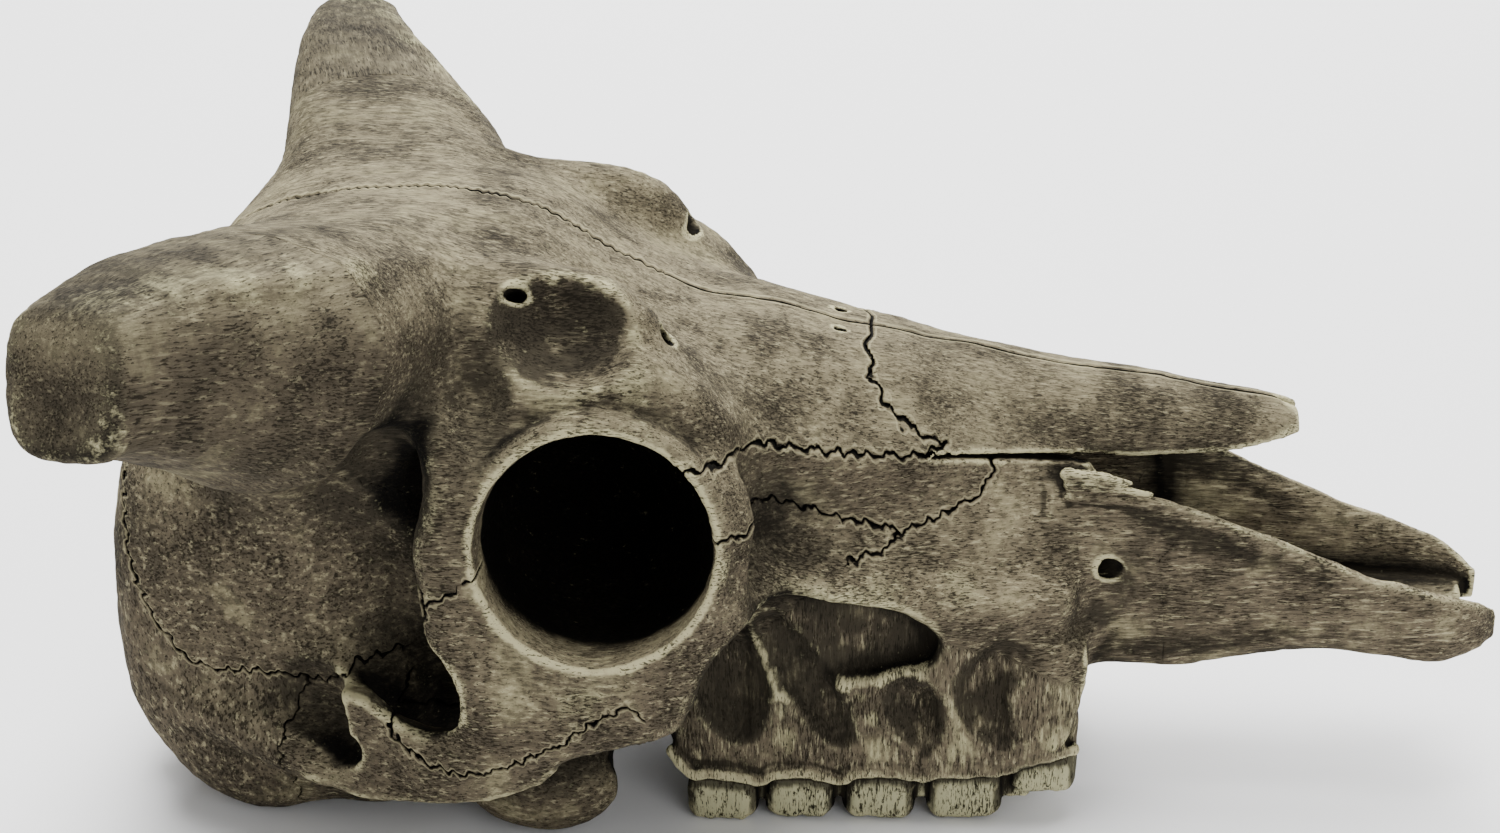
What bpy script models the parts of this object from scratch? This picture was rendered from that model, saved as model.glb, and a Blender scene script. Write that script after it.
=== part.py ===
"""Cast replica of a horned cattle skull without its lower jaw, at life size, lying on teeth and skull base.

X runs forward to the muzzle, Y to the animal's left and Z up, in metres, with the origin on the floor under
the middle of the skull. The skull is modelled as one fused mass, carved with cutters, given its thin bones
and its teeth, and then parted into bones with thin gaps that follow the sutures.
"""

import math

import bmesh
import bpy
import numpy as np
from mathutils import Matrix

SIDES = {"right": -1, "left": 1}

# Fusing of the soft bone forms
UNION_VOXEL = 0.0030
SOFTEN_ROUNDS = 8
CARVED_ROUNDS = 3
MASS_TRIANGLES = 6880

# Gap between neighbouring bones
SUTURE_GAP = 0.00034
HORN_LOW = 0.110

# Horn stumps: their section is squarish and a little narrow from front to back
HORN_FLATNESS = 0.87
HORN_ROUNDNESS = 3.1

# Eye socket: middle, radius of its opening and of its rim
EYE_X, EYE_Y, EYE_Z = -0.0380, 0.0822, 0.1092
EYE_RADIUS = 0.0325
RIM_RADIUS = 0.0346
RIM_HEIGHT_SHARE = 0.98
RIM_TURN = 0.06
RIM_LEAN = 0.145
RIM_THICKNESS = 0.0032

# Cheek teeth of each row, from back to front: middle X, length, middle Y and height of the worn face
TEETH = [
    (-0.0060, 0.0210, 0.0405, 0.0008),
    (0.0174, 0.0212, 0.0391, 0.0013),
    (0.0410, 0.0216, 0.0377, 0.0008),
    (0.0668, 0.0226, 0.0363, 0.0012),
    (0.0899, 0.0202, 0.0349, 0.0096),
]
TOOTH_WIDTH = 0.0145
TOOTH_HEIGHT = 0.034
TOOTH_WEAR = 0.0025

BONE = (0.235, 0.205, 0.150, 1.0)
ROUGHNESS = 0.72


def clear_scene():
    for obj in list(bpy.data.objects):
        bpy.data.objects.remove(obj)


def collection(name):
    made = bpy.data.collections.new(name)
    bpy.context.scene.collection.children.link(made)
    return made


def add(name, mesh, home):
    obj = bpy.data.objects.new(name, mesh)
    home.objects.link(obj)
    return obj


def place(obj, home):
    """Moves a new primitive into the collection home."""
    for user in list(obj.users_collection):
        user.objects.unlink(obj)
    home.objects.link(obj)
    return obj


def smooth_rows(rows, steps):
    """Rows on a Catmull-Rom curve through the given rows, steps for each interval."""
    rows = np.asarray(rows, float)
    padded = np.vstack([2 * rows[0] - rows[1], rows, 2 * rows[-1] - rows[-2]])
    out = []
    for i in range(1, len(padded) - 2):
        before, start, end, after = padded[i - 1 : i + 3]
        for k in range(steps):
            t = k / steps
            straight = 2 * start + (end - before) * t
            bend = (2 * before - 5 * start + 4 * end - after) * t * t
            twist = (3 * start - before - 3 * end + after) * t**3
            out.append((straight + bend + twist) / 2)
    out.append(rows[-1])
    return np.array(out)


def superellipse(around, roundness):
    """Unit points round a superellipse: roundness 2 is a circle and more is squarer."""
    angle = np.linspace(0, 2 * math.pi, around, endpoint=False)
    c, s = np.cos(angle), np.sin(angle)
    power = 2.0 / roundness
    return np.sign(c) * abs(c) ** power, np.sign(s) * abs(s) ** power


def skin(name, rings, home):
    """A closed loft over rings with the same number of points, with a fan over each end."""
    rings = np.asarray(rings, float)
    around = rings.shape[1]
    mesh = bmesh.new()
    rows = [[mesh.verts.new(p) for p in ring] for ring in rings]
    for a, b in zip(rows, rows[1:]):
        for k in range(around):
            n = (k + 1) % around
            mesh.faces.new((a[k], a[n], b[n], b[k]))
    for row in (rows[0], rows[-1]):
        middle = mesh.verts.new(np.mean([v.co for v in row], axis=0))
        for k in range(around):
            mesh.faces.new((row[k], row[(k + 1) % around], middle))
    bmesh.ops.triangulate(mesh, faces=mesh.faces)
    bmesh.ops.recalc_face_normals(mesh, faces=mesh.faces)
    data = bpy.data.meshes.new(name)
    mesh.to_mesh(data)
    mesh.free()
    return add(name, data, home)


def loft(name, home, sections, roundness=2.5, side=0, steps=4, around=36):
    """A loft along X. A section is x, low z, high z, middle y, half width and the top's share of that."""
    across, up = superellipse(around, roundness)
    rings = []
    for x, low, high, middle, half, top in smooth_rows(sections, steps):
        share = 1 + (top - 1) * np.clip(up, 0, 1)
        y = side * middle + across * half * share
        z = (low + high) / 2 + up * (high - low) / 2
        rings.append(np.column_stack([np.full(around, x), y, z]))
    return skin(name, rings, home)


def stump(name, home, path, side, flat, roundness, around=32):
    """A squarish limb with flat ends along a smooth path of x, y, z, radius, narrowed along X by flat."""
    rows = smooth_rows(path, 4)
    across, up = superellipse(around, roundness)
    rings = []
    for row, ahead in zip(rows, np.gradient(rows[:, :3], axis=0)):
        ahead = ahead / np.linalg.norm(ahead)
        level = np.array([1.0, 0.0, 0.0]) - ahead * ahead[0]
        level = level / np.linalg.norm(level)
        upright = np.cross(level, ahead)
        ring = row[:3] + row[3] * (np.outer(across * flat, level) + np.outer(up, upright))
        rings.append(ring * [1, side, 1])
    return skin(name, rings, home)


def limb(name, home, path, side, flat=(1, 1), closed=False):
    """A limb along a smooth path of x, y, z, radius. It is round, then narrowed along X and Y by flat."""
    rows = np.asarray(path, float) if closed else smooth_rows(path, 4)
    curve = bpy.data.curves.new(name, "CURVE")
    curve.dimensions = "3D"
    curve.bevel_depth = 1.0
    curve.bevel_resolution = 4
    curve.use_fill_caps = True
    spline = curve.splines.new("POLY")
    spline.points.add(len(rows) - 1)
    spline.use_cyclic_u = closed
    for point, (x, y, z, radius) in zip(spline.points, rows):
        point.co = (x / flat[0], side * y / flat[1], z, 1)
        point.radius = radius
    obj = add(name, curve, home)
    graph = bpy.context.evaluated_depsgraph_get()
    data = bpy.data.meshes.new_from_object(obj.evaluated_get(graph))
    bpy.data.objects.remove(obj)
    data.transform(Matrix.Diagonal((flat[0], flat[1], 1, 1)))
    mesh = bmesh.new()
    mesh.from_mesh(data)
    bmesh.ops.remove_doubles(mesh, verts=mesh.verts, dist=0.00002)
    bmesh.ops.recalc_face_normals(mesh, faces=mesh.faces)
    mesh.to_mesh(data)
    mesh.free()
    return add(name, data, home)


def egg(name, home, middle, radii, side=1, tilt=0.0, turn=0.0):
    """An ellipsoid, tilted about Y and turned about Z in degrees."""
    bpy.ops.mesh.primitive_uv_sphere_add(segments=28, ring_count=16)
    obj = place(bpy.context.object, home)
    obj.name = name
    obj.data.transform(Matrix.Diagonal((*radii, 1)))
    obj.data.transform(Matrix.Rotation(math.radians(tilt), 4, "Y"))
    obj.data.transform(Matrix.Rotation(math.radians(side * turn), 4, "Z"))
    obj.data.transform(Matrix.Translation((middle[0], side * middle[1], middle[2])))
    return obj


def applied(obj):
    """The object with its modifiers applied."""
    graph = bpy.context.evaluated_depsgraph_get()
    mesh = bpy.data.meshes.new_from_object(obj.evaluated_get(graph))
    obj.modifiers.clear()
    obj.data = mesh
    return obj


def largest_shell(obj):
    """Keeps the largest closed surface of a mesh."""
    mesh = bmesh.new()
    mesh.from_mesh(obj.data)
    todo = set(mesh.faces)
    best = []
    while todo:
        stack = [todo.pop()]
        found = list(stack)
        while stack:
            for edge in stack.pop().edges:
                for face in edge.link_faces:
                    if face in todo:
                        todo.remove(face)
                        stack.append(face)
                        found.append(face)
        if len(found) > len(best):
            best = found
    keep = set(best)
    bmesh.ops.delete(mesh, geom=[f for f in mesh.faces if f not in keep], context="FACES")
    bmesh.ops.triangulate(mesh, faces=mesh.faces)
    mesh.to_mesh(obj.data)
    mesh.free()
    return obj


def combine(obj, others, operation):
    """Applies one Boolean with a collection of closed meshes, and removes them."""
    boolean = obj.modifiers.new(operation.lower(), "BOOLEAN")
    boolean.operation = operation
    boolean.operand_type = "COLLECTION"
    boolean.collection = others
    boolean.solver = "MANIFOLD"
    applied(obj)
    for other in list(others.objects):
        bpy.data.objects.remove(other)
    bpy.data.collections.remove(others)
    return obj


def fuse(obj, voxel, rounds):
    """Remeshes the mass evenly and softens the creases where its forms meet."""
    remesh = obj.modifiers.new("fuse", "REMESH")
    remesh.mode = "VOXEL"
    remesh.voxel_size = voxel
    soften = obj.modifiers.new("soften", "SMOOTH")
    soften.factor = 0.5
    soften.iterations = rounds
    return applied(obj)


def braincase(home):
    """The vault with its steep back, and the broad forehead over it."""
    loft("vault", home, [
        (-0.1920, 0.042, 0.074, 0, 0.018, 1.0),
        (-0.1872, 0.028, 0.101, 0, 0.039, 1.0),
        (-0.1778, 0.014, 0.133, 0, 0.0568, 1.0),
        (-0.1550, 0.005, 0.159, 0, 0.065, 1.0),
        (-0.1250, 0.013, 0.173, 0, 0.065, 1.0),
        (-0.0950, 0.030, 0.170, 0, 0.058, 1.0),
        (-0.0600, 0.045, 0.162, 0, 0.048, 1.0),
        (-0.0300, 0.048, 0.150, 0, 0.044, 1.0),
        (0.0050, 0.052, 0.128, 0, 0.036, 1.0),
        (0.0300, 0.060, 0.105, 0, 0.024, 1.0),
    ], roundness=2.5)
    loft("forehead", home, [
        (-0.1670, 0.138, 0.154, 0, 0.030, 1.0),
        (-0.1570, 0.136, 0.1695, 0, 0.054, 1.0),
        (-0.1440, 0.133, 0.1775, 0, 0.061, 0.90),
        (-0.1230, 0.130, 0.1830, 0, 0.067, 0.82),
        (-0.1030, 0.130, 0.1855, 0, 0.069, 0.80),
        (-0.0800, 0.130, 0.1860, 0, 0.070, 0.80),
        (-0.0600, 0.130, 0.1805, 0, 0.069, 0.80),
        (-0.0400, 0.126, 0.1685, 0, 0.066, 0.78),
        (-0.0180, 0.114, 0.1565, 0, 0.061, 0.72),
        (0.0040, 0.108, 0.1513, 0, 0.055, 0.68),
        (0.0300, 0.102, 0.1443, 0, 0.046, 0.66),
        (0.0500, 0.102, 0.1410, 0, 0.040, 0.66),
        (0.0750, 0.104, 0.1330, 0, 0.030, 0.66),
        (0.0960, 0.106, 0.1260, 0, 0.022, 0.66),
    ], roundness=2.7)


def face(home):
    """The long face behind the nose opening."""
    loft("face", home, [
        (-0.0500, 0.046, 0.150, 0, 0.044, 0.90),
        (-0.0150, 0.036, 0.150, 0, 0.054, 0.80),
        (0.0180, 0.034, 0.146, 0, 0.055, 0.74),
        (0.0500, 0.034, 0.138, 0, 0.049, 0.70),
        (0.0800, 0.038, 0.126, 0, 0.042, 0.72),
        (0.1000, 0.047, 0.118, 0, 0.0364, 0.78),
        (0.1120, 0.0515, 0.112, 0, 0.0328, 0.99),
        (0.1260, 0.0510, 0.103, 0, 0.0294, 1.12),
    ], roundness=2.8)


def eye_forms(home, side):
    """Brow, eye tube, its raised rim and the post behind it."""
    limb("brow", home, [
        (-0.098, 0.046, 0.173, 0.010),
        (-0.072, 0.049, 0.170, 0.010),
        (-0.052, 0.050, 0.1695, 0.0110),
        (-0.037, 0.0505, 0.1635, 0.0125),
        (-0.0245, 0.050, 0.1490, 0.0115),
        (-0.010, 0.048, 0.135, 0.010),
    ], side)
    limb("eye_tube", home, [
        (-0.0410, 0.0200, 0.1120, 0.0445),
        (-0.0395, 0.0420, 0.1085, 0.0428),
        (-0.0385, 0.0680, 0.1070, 0.0400),
        (-0.0380, 0.0790, 0.1085, 0.0368),
    ], side)
    limb("brow_foot", home, [
        (-0.072, 0.066, 0.134, 0.0080),
        (-0.064, 0.066, 0.142, 0.0085),
        (-0.050, 0.0655, 0.149, 0.0090),
        (-0.034, 0.0645, 0.151, 0.0090),
        (-0.020, 0.0625, 0.146, 0.0085),
        (-0.009, 0.061, 0.136, 0.0075),
    ], side)
    ring = []
    for k in range(36):
        angle = math.tau * k / 36
        x = EYE_X + RIM_RADIUS * math.cos(angle)
        y = EYE_Y - RIM_RADIUS * (RIM_TURN * math.cos(angle) + RIM_LEAN * math.sin(angle))
        z = EYE_Z + RIM_RADIUS * RIM_HEIGHT_SHARE * math.sin(angle)
        ring.append((x, y, z, RIM_THICKNESS))
    limb("eye_rim", home, ring, side, closed=True)
    limb("eye_post", home, [
        (-0.066, 0.060, 0.158, 0.0115),
        (-0.078, 0.076, 0.136, 0.0090),
        (-0.082, 0.083, 0.112, 0.0078),
        (-0.079, 0.085, 0.088, 0.0085),
        (-0.068, 0.086, 0.066, 0.0115),
    ], side, flat=(1, 0.8))


def cheek_forms(home, side):
    """Cheek arch with the hook over the ear, facial crest and tooth ridge."""
    limb("cheek_arch", home, [
        (0.006, 0.062, 0.086, 0.0125),
        (-0.016, 0.078, 0.069, 0.0160),
        (-0.045, 0.084, 0.062, 0.0165),
        (-0.072, 0.085, 0.048, 0.0125),
        (-0.090, 0.083, 0.043, 0.0110),
        (-0.106, 0.077, 0.043, 0.0110),
        (-0.122, 0.070, 0.037, 0.0090),
        (-0.140, 0.064, 0.040, 0.0085),
        (-0.156, 0.057, 0.046, 0.0085),
    ], side, flat=(1, 0.66))
    limb("under_eye", home, [
        (-0.068, 0.080, 0.084, 0.0080),
        (-0.050, 0.081, 0.075, 0.0095),
        (-0.030, 0.081, 0.073, 0.0100),
        (-0.012, 0.078, 0.080, 0.0090),
        (-0.004, 0.074, 0.090, 0.0080),
    ], side, flat=(1, 0.8))
    egg("jaw_knob", home, (-0.103, 0.077, 0.053), (0.014, 0.006, 0.009), side, tilt=20)
    limb("facial_crest", home, [
        (-0.016, 0.070, 0.090, 0.0135),
        (0.010, 0.060, 0.088, 0.0115),
        (0.036, 0.050, 0.081, 0.0100),
        (0.062, 0.044, 0.074, 0.0090),
        (0.090, 0.038, 0.075, 0.0080),
    ], side)
    loft("tooth_ridge", home, [
        (-0.0225, 0.027, 0.060, 0.0365, 0.0080, 1.0),
        (-0.0140, 0.017, 0.066, 0.0365, 0.0124, 1.0),
        (0.0200, 0.0165, 0.068, 0.0365, 0.0127, 1.0),
        (0.0560, 0.0170, 0.068, 0.0365, 0.0122, 1.0),
        (0.0780, 0.0185, 0.067, 0.0365, 0.0117, 1.0),
        (0.0900, 0.0225, 0.066, 0.0365, 0.0112, 1.0),
        (0.1010, 0.0240, 0.062, 0.0365, 0.0080, 1.0),
    ], roundness=3.2, side=side, steps=3, around=28)


def base_forms(home, side):
    """Neck joint, side process, ear bulb, temple root and pterygoid plate."""
    egg("condyle", home, (-0.1765, 0.020, 0.036), (0.0155, 0.0135, 0.0190), side, tilt=-20)
    egg("side_process", home, (-0.1475, 0.0415, 0.0402), (0.0325, 0.0210, 0.0400), side, tilt=24)
    egg("temple_root", home, (-0.118, 0.056, 0.046), (0.027, 0.016, 0.024), side)
    egg("ear_bulb", home, (-0.112, 0.046, 0.027), (0.0330, 0.0135, 0.0205), side)
    egg("wing_root", home, (-0.080, 0.040, 0.048), (0.030, 0.015, 0.022), side)
    limb("pterygoid", home, [
        (-0.050, 0.026, 0.074, 0.0235),
        (-0.054, 0.036, 0.046, 0.0215),
        (-0.057, 0.046, 0.027, 0.0190),
        (-0.056, 0.053, 0.018, 0.0130),
    ], side, flat=(1, 0.6))
    egg("pterygoid_foot", home, (-0.059, 0.0545, 0.0175), (0.0230, 0.0098, 0.0136), side)


def horn(home, side):
    """The stump of a horn: squarish, swept out, up and a little back, and cut off flat."""
    stump("horn", home, [
        (-0.1150, 0.0320, 0.1450, 0.0355),
        (-0.1230, 0.0700, 0.1593, 0.0353),
        (-0.1310, 0.0950, 0.1708, 0.0314),
        (-0.1408, 0.1280, 0.1818, 0.0247),
        (-0.1465, 0.1510, 0.1866, 0.0201),
        (-0.1485, 0.1680, 0.1880, 0.0186),
        (-0.1490, 0.1736, 0.1884, 0.0182),
    ], side, HORN_FLATNESS, HORN_ROUNDNESS)
    limb("horn_root", home, [
        (-0.096, 0.040, 0.1610, 0.0215),
        (-0.100, 0.066, 0.1665, 0.0215),
        (-0.112, 0.092, 0.1720, 0.0195),
        (-0.126, 0.112, 0.1760, 0.0165),
    ], side)


def soft_mass():
    """All soft forms fused into one mass."""
    forms = collection("forms")
    braincase(forms)
    face(forms)
    for side in SIDES.values():
        eye_forms(forms, side)
        cheek_forms(forms, side)
        base_forms(forms, side)
        horn(forms, side)
    mass = forms.objects["vault"]
    forms.objects.unlink(mass)
    bpy.context.scene.collection.objects.link(mass)
    combine(mass, forms, "UNION")
    return fuse(mass, UNION_VOXEL, SOFTEN_ROUNDS)


def side_hollows(cuts, side):
    """Eye socket, temple, brow, ear, cheek and face hollows of one side, and the pits over its teeth."""
    limb("eye_socket", cuts, [
        (-0.0500, 0.022, 0.1040, 0.0200),
        (-0.0450, 0.036, 0.1040, 0.0275),
        (-0.0395, 0.058, 0.1056, EYE_RADIUS),
        (EYE_X, EYE_Y, EYE_Z, EYE_RADIUS),
        (EYE_X + 0.001, 0.118, 0.1144, EYE_RADIUS + 0.004),
    ], side)
    egg("temple_hollow", cuts, (-0.107, 0.092, 0.098), (0.020, 0.028, 0.037), side, tilt=8)
    egg("post_hollow", cuts, (-0.098, 0.084, 0.127), (0.013, 0.017, 0.016), side)
    egg("arch_hollow", cuts, (-0.088, 0.074, 0.067), (0.0145, 0.017, 0.0155), side, tilt=30)
    egg("ear_hollow", cuts, (-0.134, 0.078, 0.059), (0.026, 0.016, 0.0115), side, tilt=10)
    egg("brow_hollow", cuts, (-0.038, 0.084, 0.181), (0.026, 0.019, 0.020), side, turn=8)
    egg("post_top_hollow", cuts, (-0.071, 0.088, 0.155), (0.010, 0.014, 0.015), side)
    loft("cheek_cave", cuts, [
        (-0.014, 0.050, 0.060, 0.078, 0.019, 1.0),
        (-0.006, 0.047, 0.076, 0.077, 0.0215, 1.0),
        (0.009, 0.0465, 0.0855, 0.074, 0.022, 1.0),
        (0.023, 0.048, 0.083, 0.071, 0.022, 1.0),
        (0.037, 0.051, 0.0785, 0.068, 0.022, 1.0),
        (0.046, 0.054, 0.0735, 0.0665, 0.022, 1.0),
        (0.055, 0.060, 0.0670, 0.065, 0.021, 1.0),
    ], roundness=2.6, side=side, steps=3, around=24)
    egg("tooth_pit_1", cuts, (-0.003, 0.051, 0.047), (0.0105, 0.0075, 0.015), side)
    egg("tooth_pit_2", cuts, (0.0205, 0.051, 0.043), (0.0058, 0.0070, 0.013), side, tilt=22)
    egg("tooth_pit_3", cuts, (0.0485, 0.050, 0.038), (0.0080, 0.0065, 0.0105), side)
    egg("tooth_pit_4", cuts, (0.0760, 0.051, 0.048), (0.0075, 0.0080, 0.015), side, tilt=-8)
    egg("face_hollow", cuts, (0.045, 0.074, 0.104), (0.044, 0.026, 0.014), side, tilt=6)
    egg("eye_front_hollow", cuts, (0.022, 0.080, 0.100), (0.024, 0.020, 0.010), side)


def middle_hollows(cuts):
    """Nose opening, palate, the airway behind it and the hole for the spinal cord."""
    loft("nose_opening", cuts, [
        (0.020, 0.070, 0.098, 0, 0.010, 1.0),
        (0.045, 0.060, 0.114, 0, 0.017, 1.0),
        (0.075, 0.054, 0.122, 0, 0.022, 1.0),
        (0.105, 0.052, 0.126, 0, 0.0255, 1.0),
        (0.132, 0.052, 0.126, 0, 0.0280, 1.0),
    ], roundness=2.8, steps=3)
    loft("palate", cuts, [
        (-0.032, -0.010, 0.034, 0, 0.024, 0.9),
        (0.000, -0.010, 0.037, 0, 0.026, 0.8),
        (0.050, -0.010, 0.039, 0, 0.024, 0.8),
        (0.085, -0.010, 0.041, 0, 0.021, 0.8),
        (0.113, -0.010, 0.046, 0, 0.018, 0.8),
    ], roundness=3.2, steps=3)
    loft("airway", cuts, [
        (-0.080, 0.010, 0.050, 0, 0.017, 1.0),
        (-0.050, 0.008, 0.062, 0, 0.020, 1.0),
        (-0.020, 0.020, 0.066, 0, 0.017, 1.0),
        (-0.005, 0.034, 0.062, 0, 0.010, 1.0),
    ], roundness=2.4, steps=3)
    egg("cord_hole", cuts, (-0.196, 0, 0.052), (0.030, 0.016, 0.014))


def carve(mass):
    """Cuts the hollows, softens their edges and thins the mesh out."""
    cuts = collection("hollows")
    for side in SIDES.values():
        side_hollows(cuts, side)
    middle_hollows(cuts)
    combine(mass, cuts, "DIFFERENCE")
    fuse(mass, UNION_VOXEL, CARVED_ROUNDS)
    largest_shell(mass)
    thin = mass.modifiers.new("thin_out", "DECIMATE")
    thin.ratio = MASS_TRIANGLES / len(mass.data.polygons)
    return largest_shell(applied(mass))


def nose_roof(home):
    """Both nasal bones as one arched plate, narrow at its tip."""
    rings = []
    around = 11
    bend = np.linspace(-1, 1, around)
    for x, ridge, edge, half, thick in smooth_rows([
        (0.034, 0.1385, 0.118, 0.0330, 0.006),
        (0.046, 0.1405, 0.1165, 0.0325, 0.006),
        (0.062, 0.1405, 0.115, 0.0295, 0.006),
        (0.088, 0.1355, 0.1145, 0.0250, 0.0055),
        (0.112, 0.1325, 0.1135, 0.0205, 0.0050),
        (0.140, 0.1280, 0.1135, 0.0160, 0.0045),
        (0.154, 0.1252, 0.1155, 0.0125, 0.0040),
        (0.163, 0.1225, 0.1170, 0.0090, 0.0030),
    ], 4):
        y = half * np.sin(bend * math.pi / 2)
        z = edge + (ridge - edge) * np.cos(bend * math.pi / 2)
        outer = np.column_stack([np.full(around, x), y, z])
        shrink = np.array([1 - thick / half, 1 - thick / (ridge - edge)])
        inner = np.column_stack([np.full(around, x), y * shrink[0], edge + (z - edge) * shrink[1]])
        rings.append(np.vstack([outer, inner[::-1]]))
    return skin("nose_roof", rings, home)


def muzzle_plate(home, side):
    """The upright plate of a front jaw bone, from the upper jaw to its rounded tip, and its palate shelf."""
    around = 14
    across, up = superellipse(around, 2.6)
    rings = []
    for x, low, high, y_low, y_high, half in smooth_rows([
        (0.090, 0.0500, 0.1070, 0.0300, 0.0290, 0.0050),
        (0.107, 0.0500, 0.1075, 0.0285, 0.0295, 0.0046),
        (0.119, 0.0492, 0.1050, 0.0273, 0.0305, 0.0042),
        (0.132, 0.0490, 0.1010, 0.0262, 0.0307, 0.0040),
        (0.144, 0.0505, 0.0965, 0.0255, 0.0306, 0.0040),
        (0.159, 0.0543, 0.0902, 0.0248, 0.0286, 0.0040),
        (0.175, 0.0554, 0.0835, 0.0240, 0.0280, 0.0040),
        (0.193, 0.0520, 0.0767, 0.0230, 0.0260, 0.0039),
        (0.205, 0.0495, 0.0730, 0.0220, 0.0250, 0.0038),
        (0.217, 0.0508, 0.0686, 0.0180, 0.0205, 0.0034),
        (0.2258, 0.0538, 0.0630, 0.0130, 0.0135, 0.0026),
    ], 3):
        z = (low + high) / 2 + up * (high - low) / 2
        lean = (y_low + y_high) / 2 + (y_high - y_low) / 2 * up
        rings.append(np.column_stack([np.full(around, x), side * lean + across * half, z]))
    skin("muzzle_plate", rings, home)
    loft("muzzle_floor", home, [
        (0.086, 0.0460, 0.0550, 0.0135, 0.0150, 1.0),
        (0.115, 0.0480, 0.0545, 0.0135, 0.0130, 1.0),
        (0.150, 0.0508, 0.0556, 0.0135, 0.0115, 1.0),
        (0.170, 0.0528, 0.0572, 0.0135, 0.0115, 1.0),
        (0.187, 0.0518, 0.0572, 0.0135, 0.0115, 1.0),
        (0.208, 0.0500, 0.0570, 0.0135, 0.0100, 1.0),
        (0.2200, 0.0530, 0.0580, 0.0115, 0.0060, 1.0),
    ], roundness=3.0, side=side, steps=3, around=14)


def tooth_row(home, side):
    """Worn cheek teeth, each a rounded block sunk in the tooth ridge."""
    for x, length, y, low in TEETH:
        bpy.ops.mesh.primitive_cube_add(size=1)
        tooth = place(bpy.context.object, home)
        tooth.data.transform(Matrix.Diagonal((length, TOOTH_WIDTH, TOOTH_HEIGHT, 1)))
        tooth.data.transform(Matrix.Translation((x, side * y, low + TOOTH_HEIGHT / 2)))
        bevel = tooth.modifiers.new("worn", "BEVEL")
        bevel.width = TOOTH_WEAR
        bevel.segments = 1
        applied(tooth)


def whole_skull():
    """The carved mass with its thin bones and teeth joined on."""
    skull = carve(soft_mass())
    added = collection("added")
    nose_roof(added)
    for side in SIDES.values():
        muzzle_plate(added, side)
        tooth_row(added, side)
    combine(skull, added, "UNION")
    return largest_shell(skull)


def widened(outline, gap):
    """The closed outline moved outwards by gap."""
    points = np.asarray(outline, float)
    ahead = np.roll(points, -1, axis=0) - points
    after = np.roll(points, -1, axis=0)
    area = np.sum(points[:, 0] * after[:, 1] - points[:, 1] * after[:, 0])
    ahead /= np.linalg.norm(ahead, axis=1)[:, None]
    out = np.column_stack([ahead[:, 1], -ahead[:, 0]]) * np.sign(area)
    before = np.roll(out, 1, axis=0)
    corner = out + before
    return points + corner * (gap / np.sum(corner * out, axis=1))[:, None]


def prism(name, home, outline, low, high, upright, side):
    """A prism over an outline in X and Z from low to high across Y, or upright over one in X and Y."""
    curve = bpy.data.curves.new(name, "CURVE")
    curve.dimensions = "2D"
    curve.fill_mode = "BOTH"
    curve.extrude = (high - low) / 2
    spline = curve.splines.new("POLY")
    spline.points.add(len(outline) - 1)
    spline.use_cyclic_u = True
    for point, (a, b) in zip(spline.points, outline):
        point.co = (a, b * (side if upright else 1), 0, 1)
    obj = add(name, curve, home)
    graph = bpy.context.evaluated_depsgraph_get()
    data = bpy.data.meshes.new_from_object(obj.evaluated_get(graph))
    bpy.data.objects.remove(obj)
    middle = (low + high) / 2
    if upright:
        data.transform(Matrix.Translation((0, 0, middle)))
    else:
        data.transform(Matrix.Translation((0, side * middle, 0)) @ Matrix.Rotation(math.pi / 2, 4, "X"))
    mesh = bmesh.new()
    mesh.from_mesh(data)
    bmesh.ops.remove_doubles(mesh, verts=mesh.verts, dist=0.00001)
    bmesh.ops.recalc_face_normals(mesh, faces=mesh.faces)
    mesh.to_mesh(data)
    mesh.free()
    return add(name, data, home)


def part_off(rest, name, home, outline, low, high, side, upright=False):
    """Moves what lies inside a prism from rest to a new bone, with a thin gap between the two."""
    bone = add(name, rest.data.copy(), home)
    inside = collection("inside")
    prism("inside", inside, outline, low, high, upright, side)
    combine(bone, inside, "INTERSECT")
    largest_shell(bone)
    outside = collection("outside")
    wide = widened(outline, SUTURE_GAP)
    prism("outside", outside, wide, low - SUTURE_GAP, high + SUTURE_GAP, upright, side)
    combine(rest, outside, "DIFFERENCE")
    return bone


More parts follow.
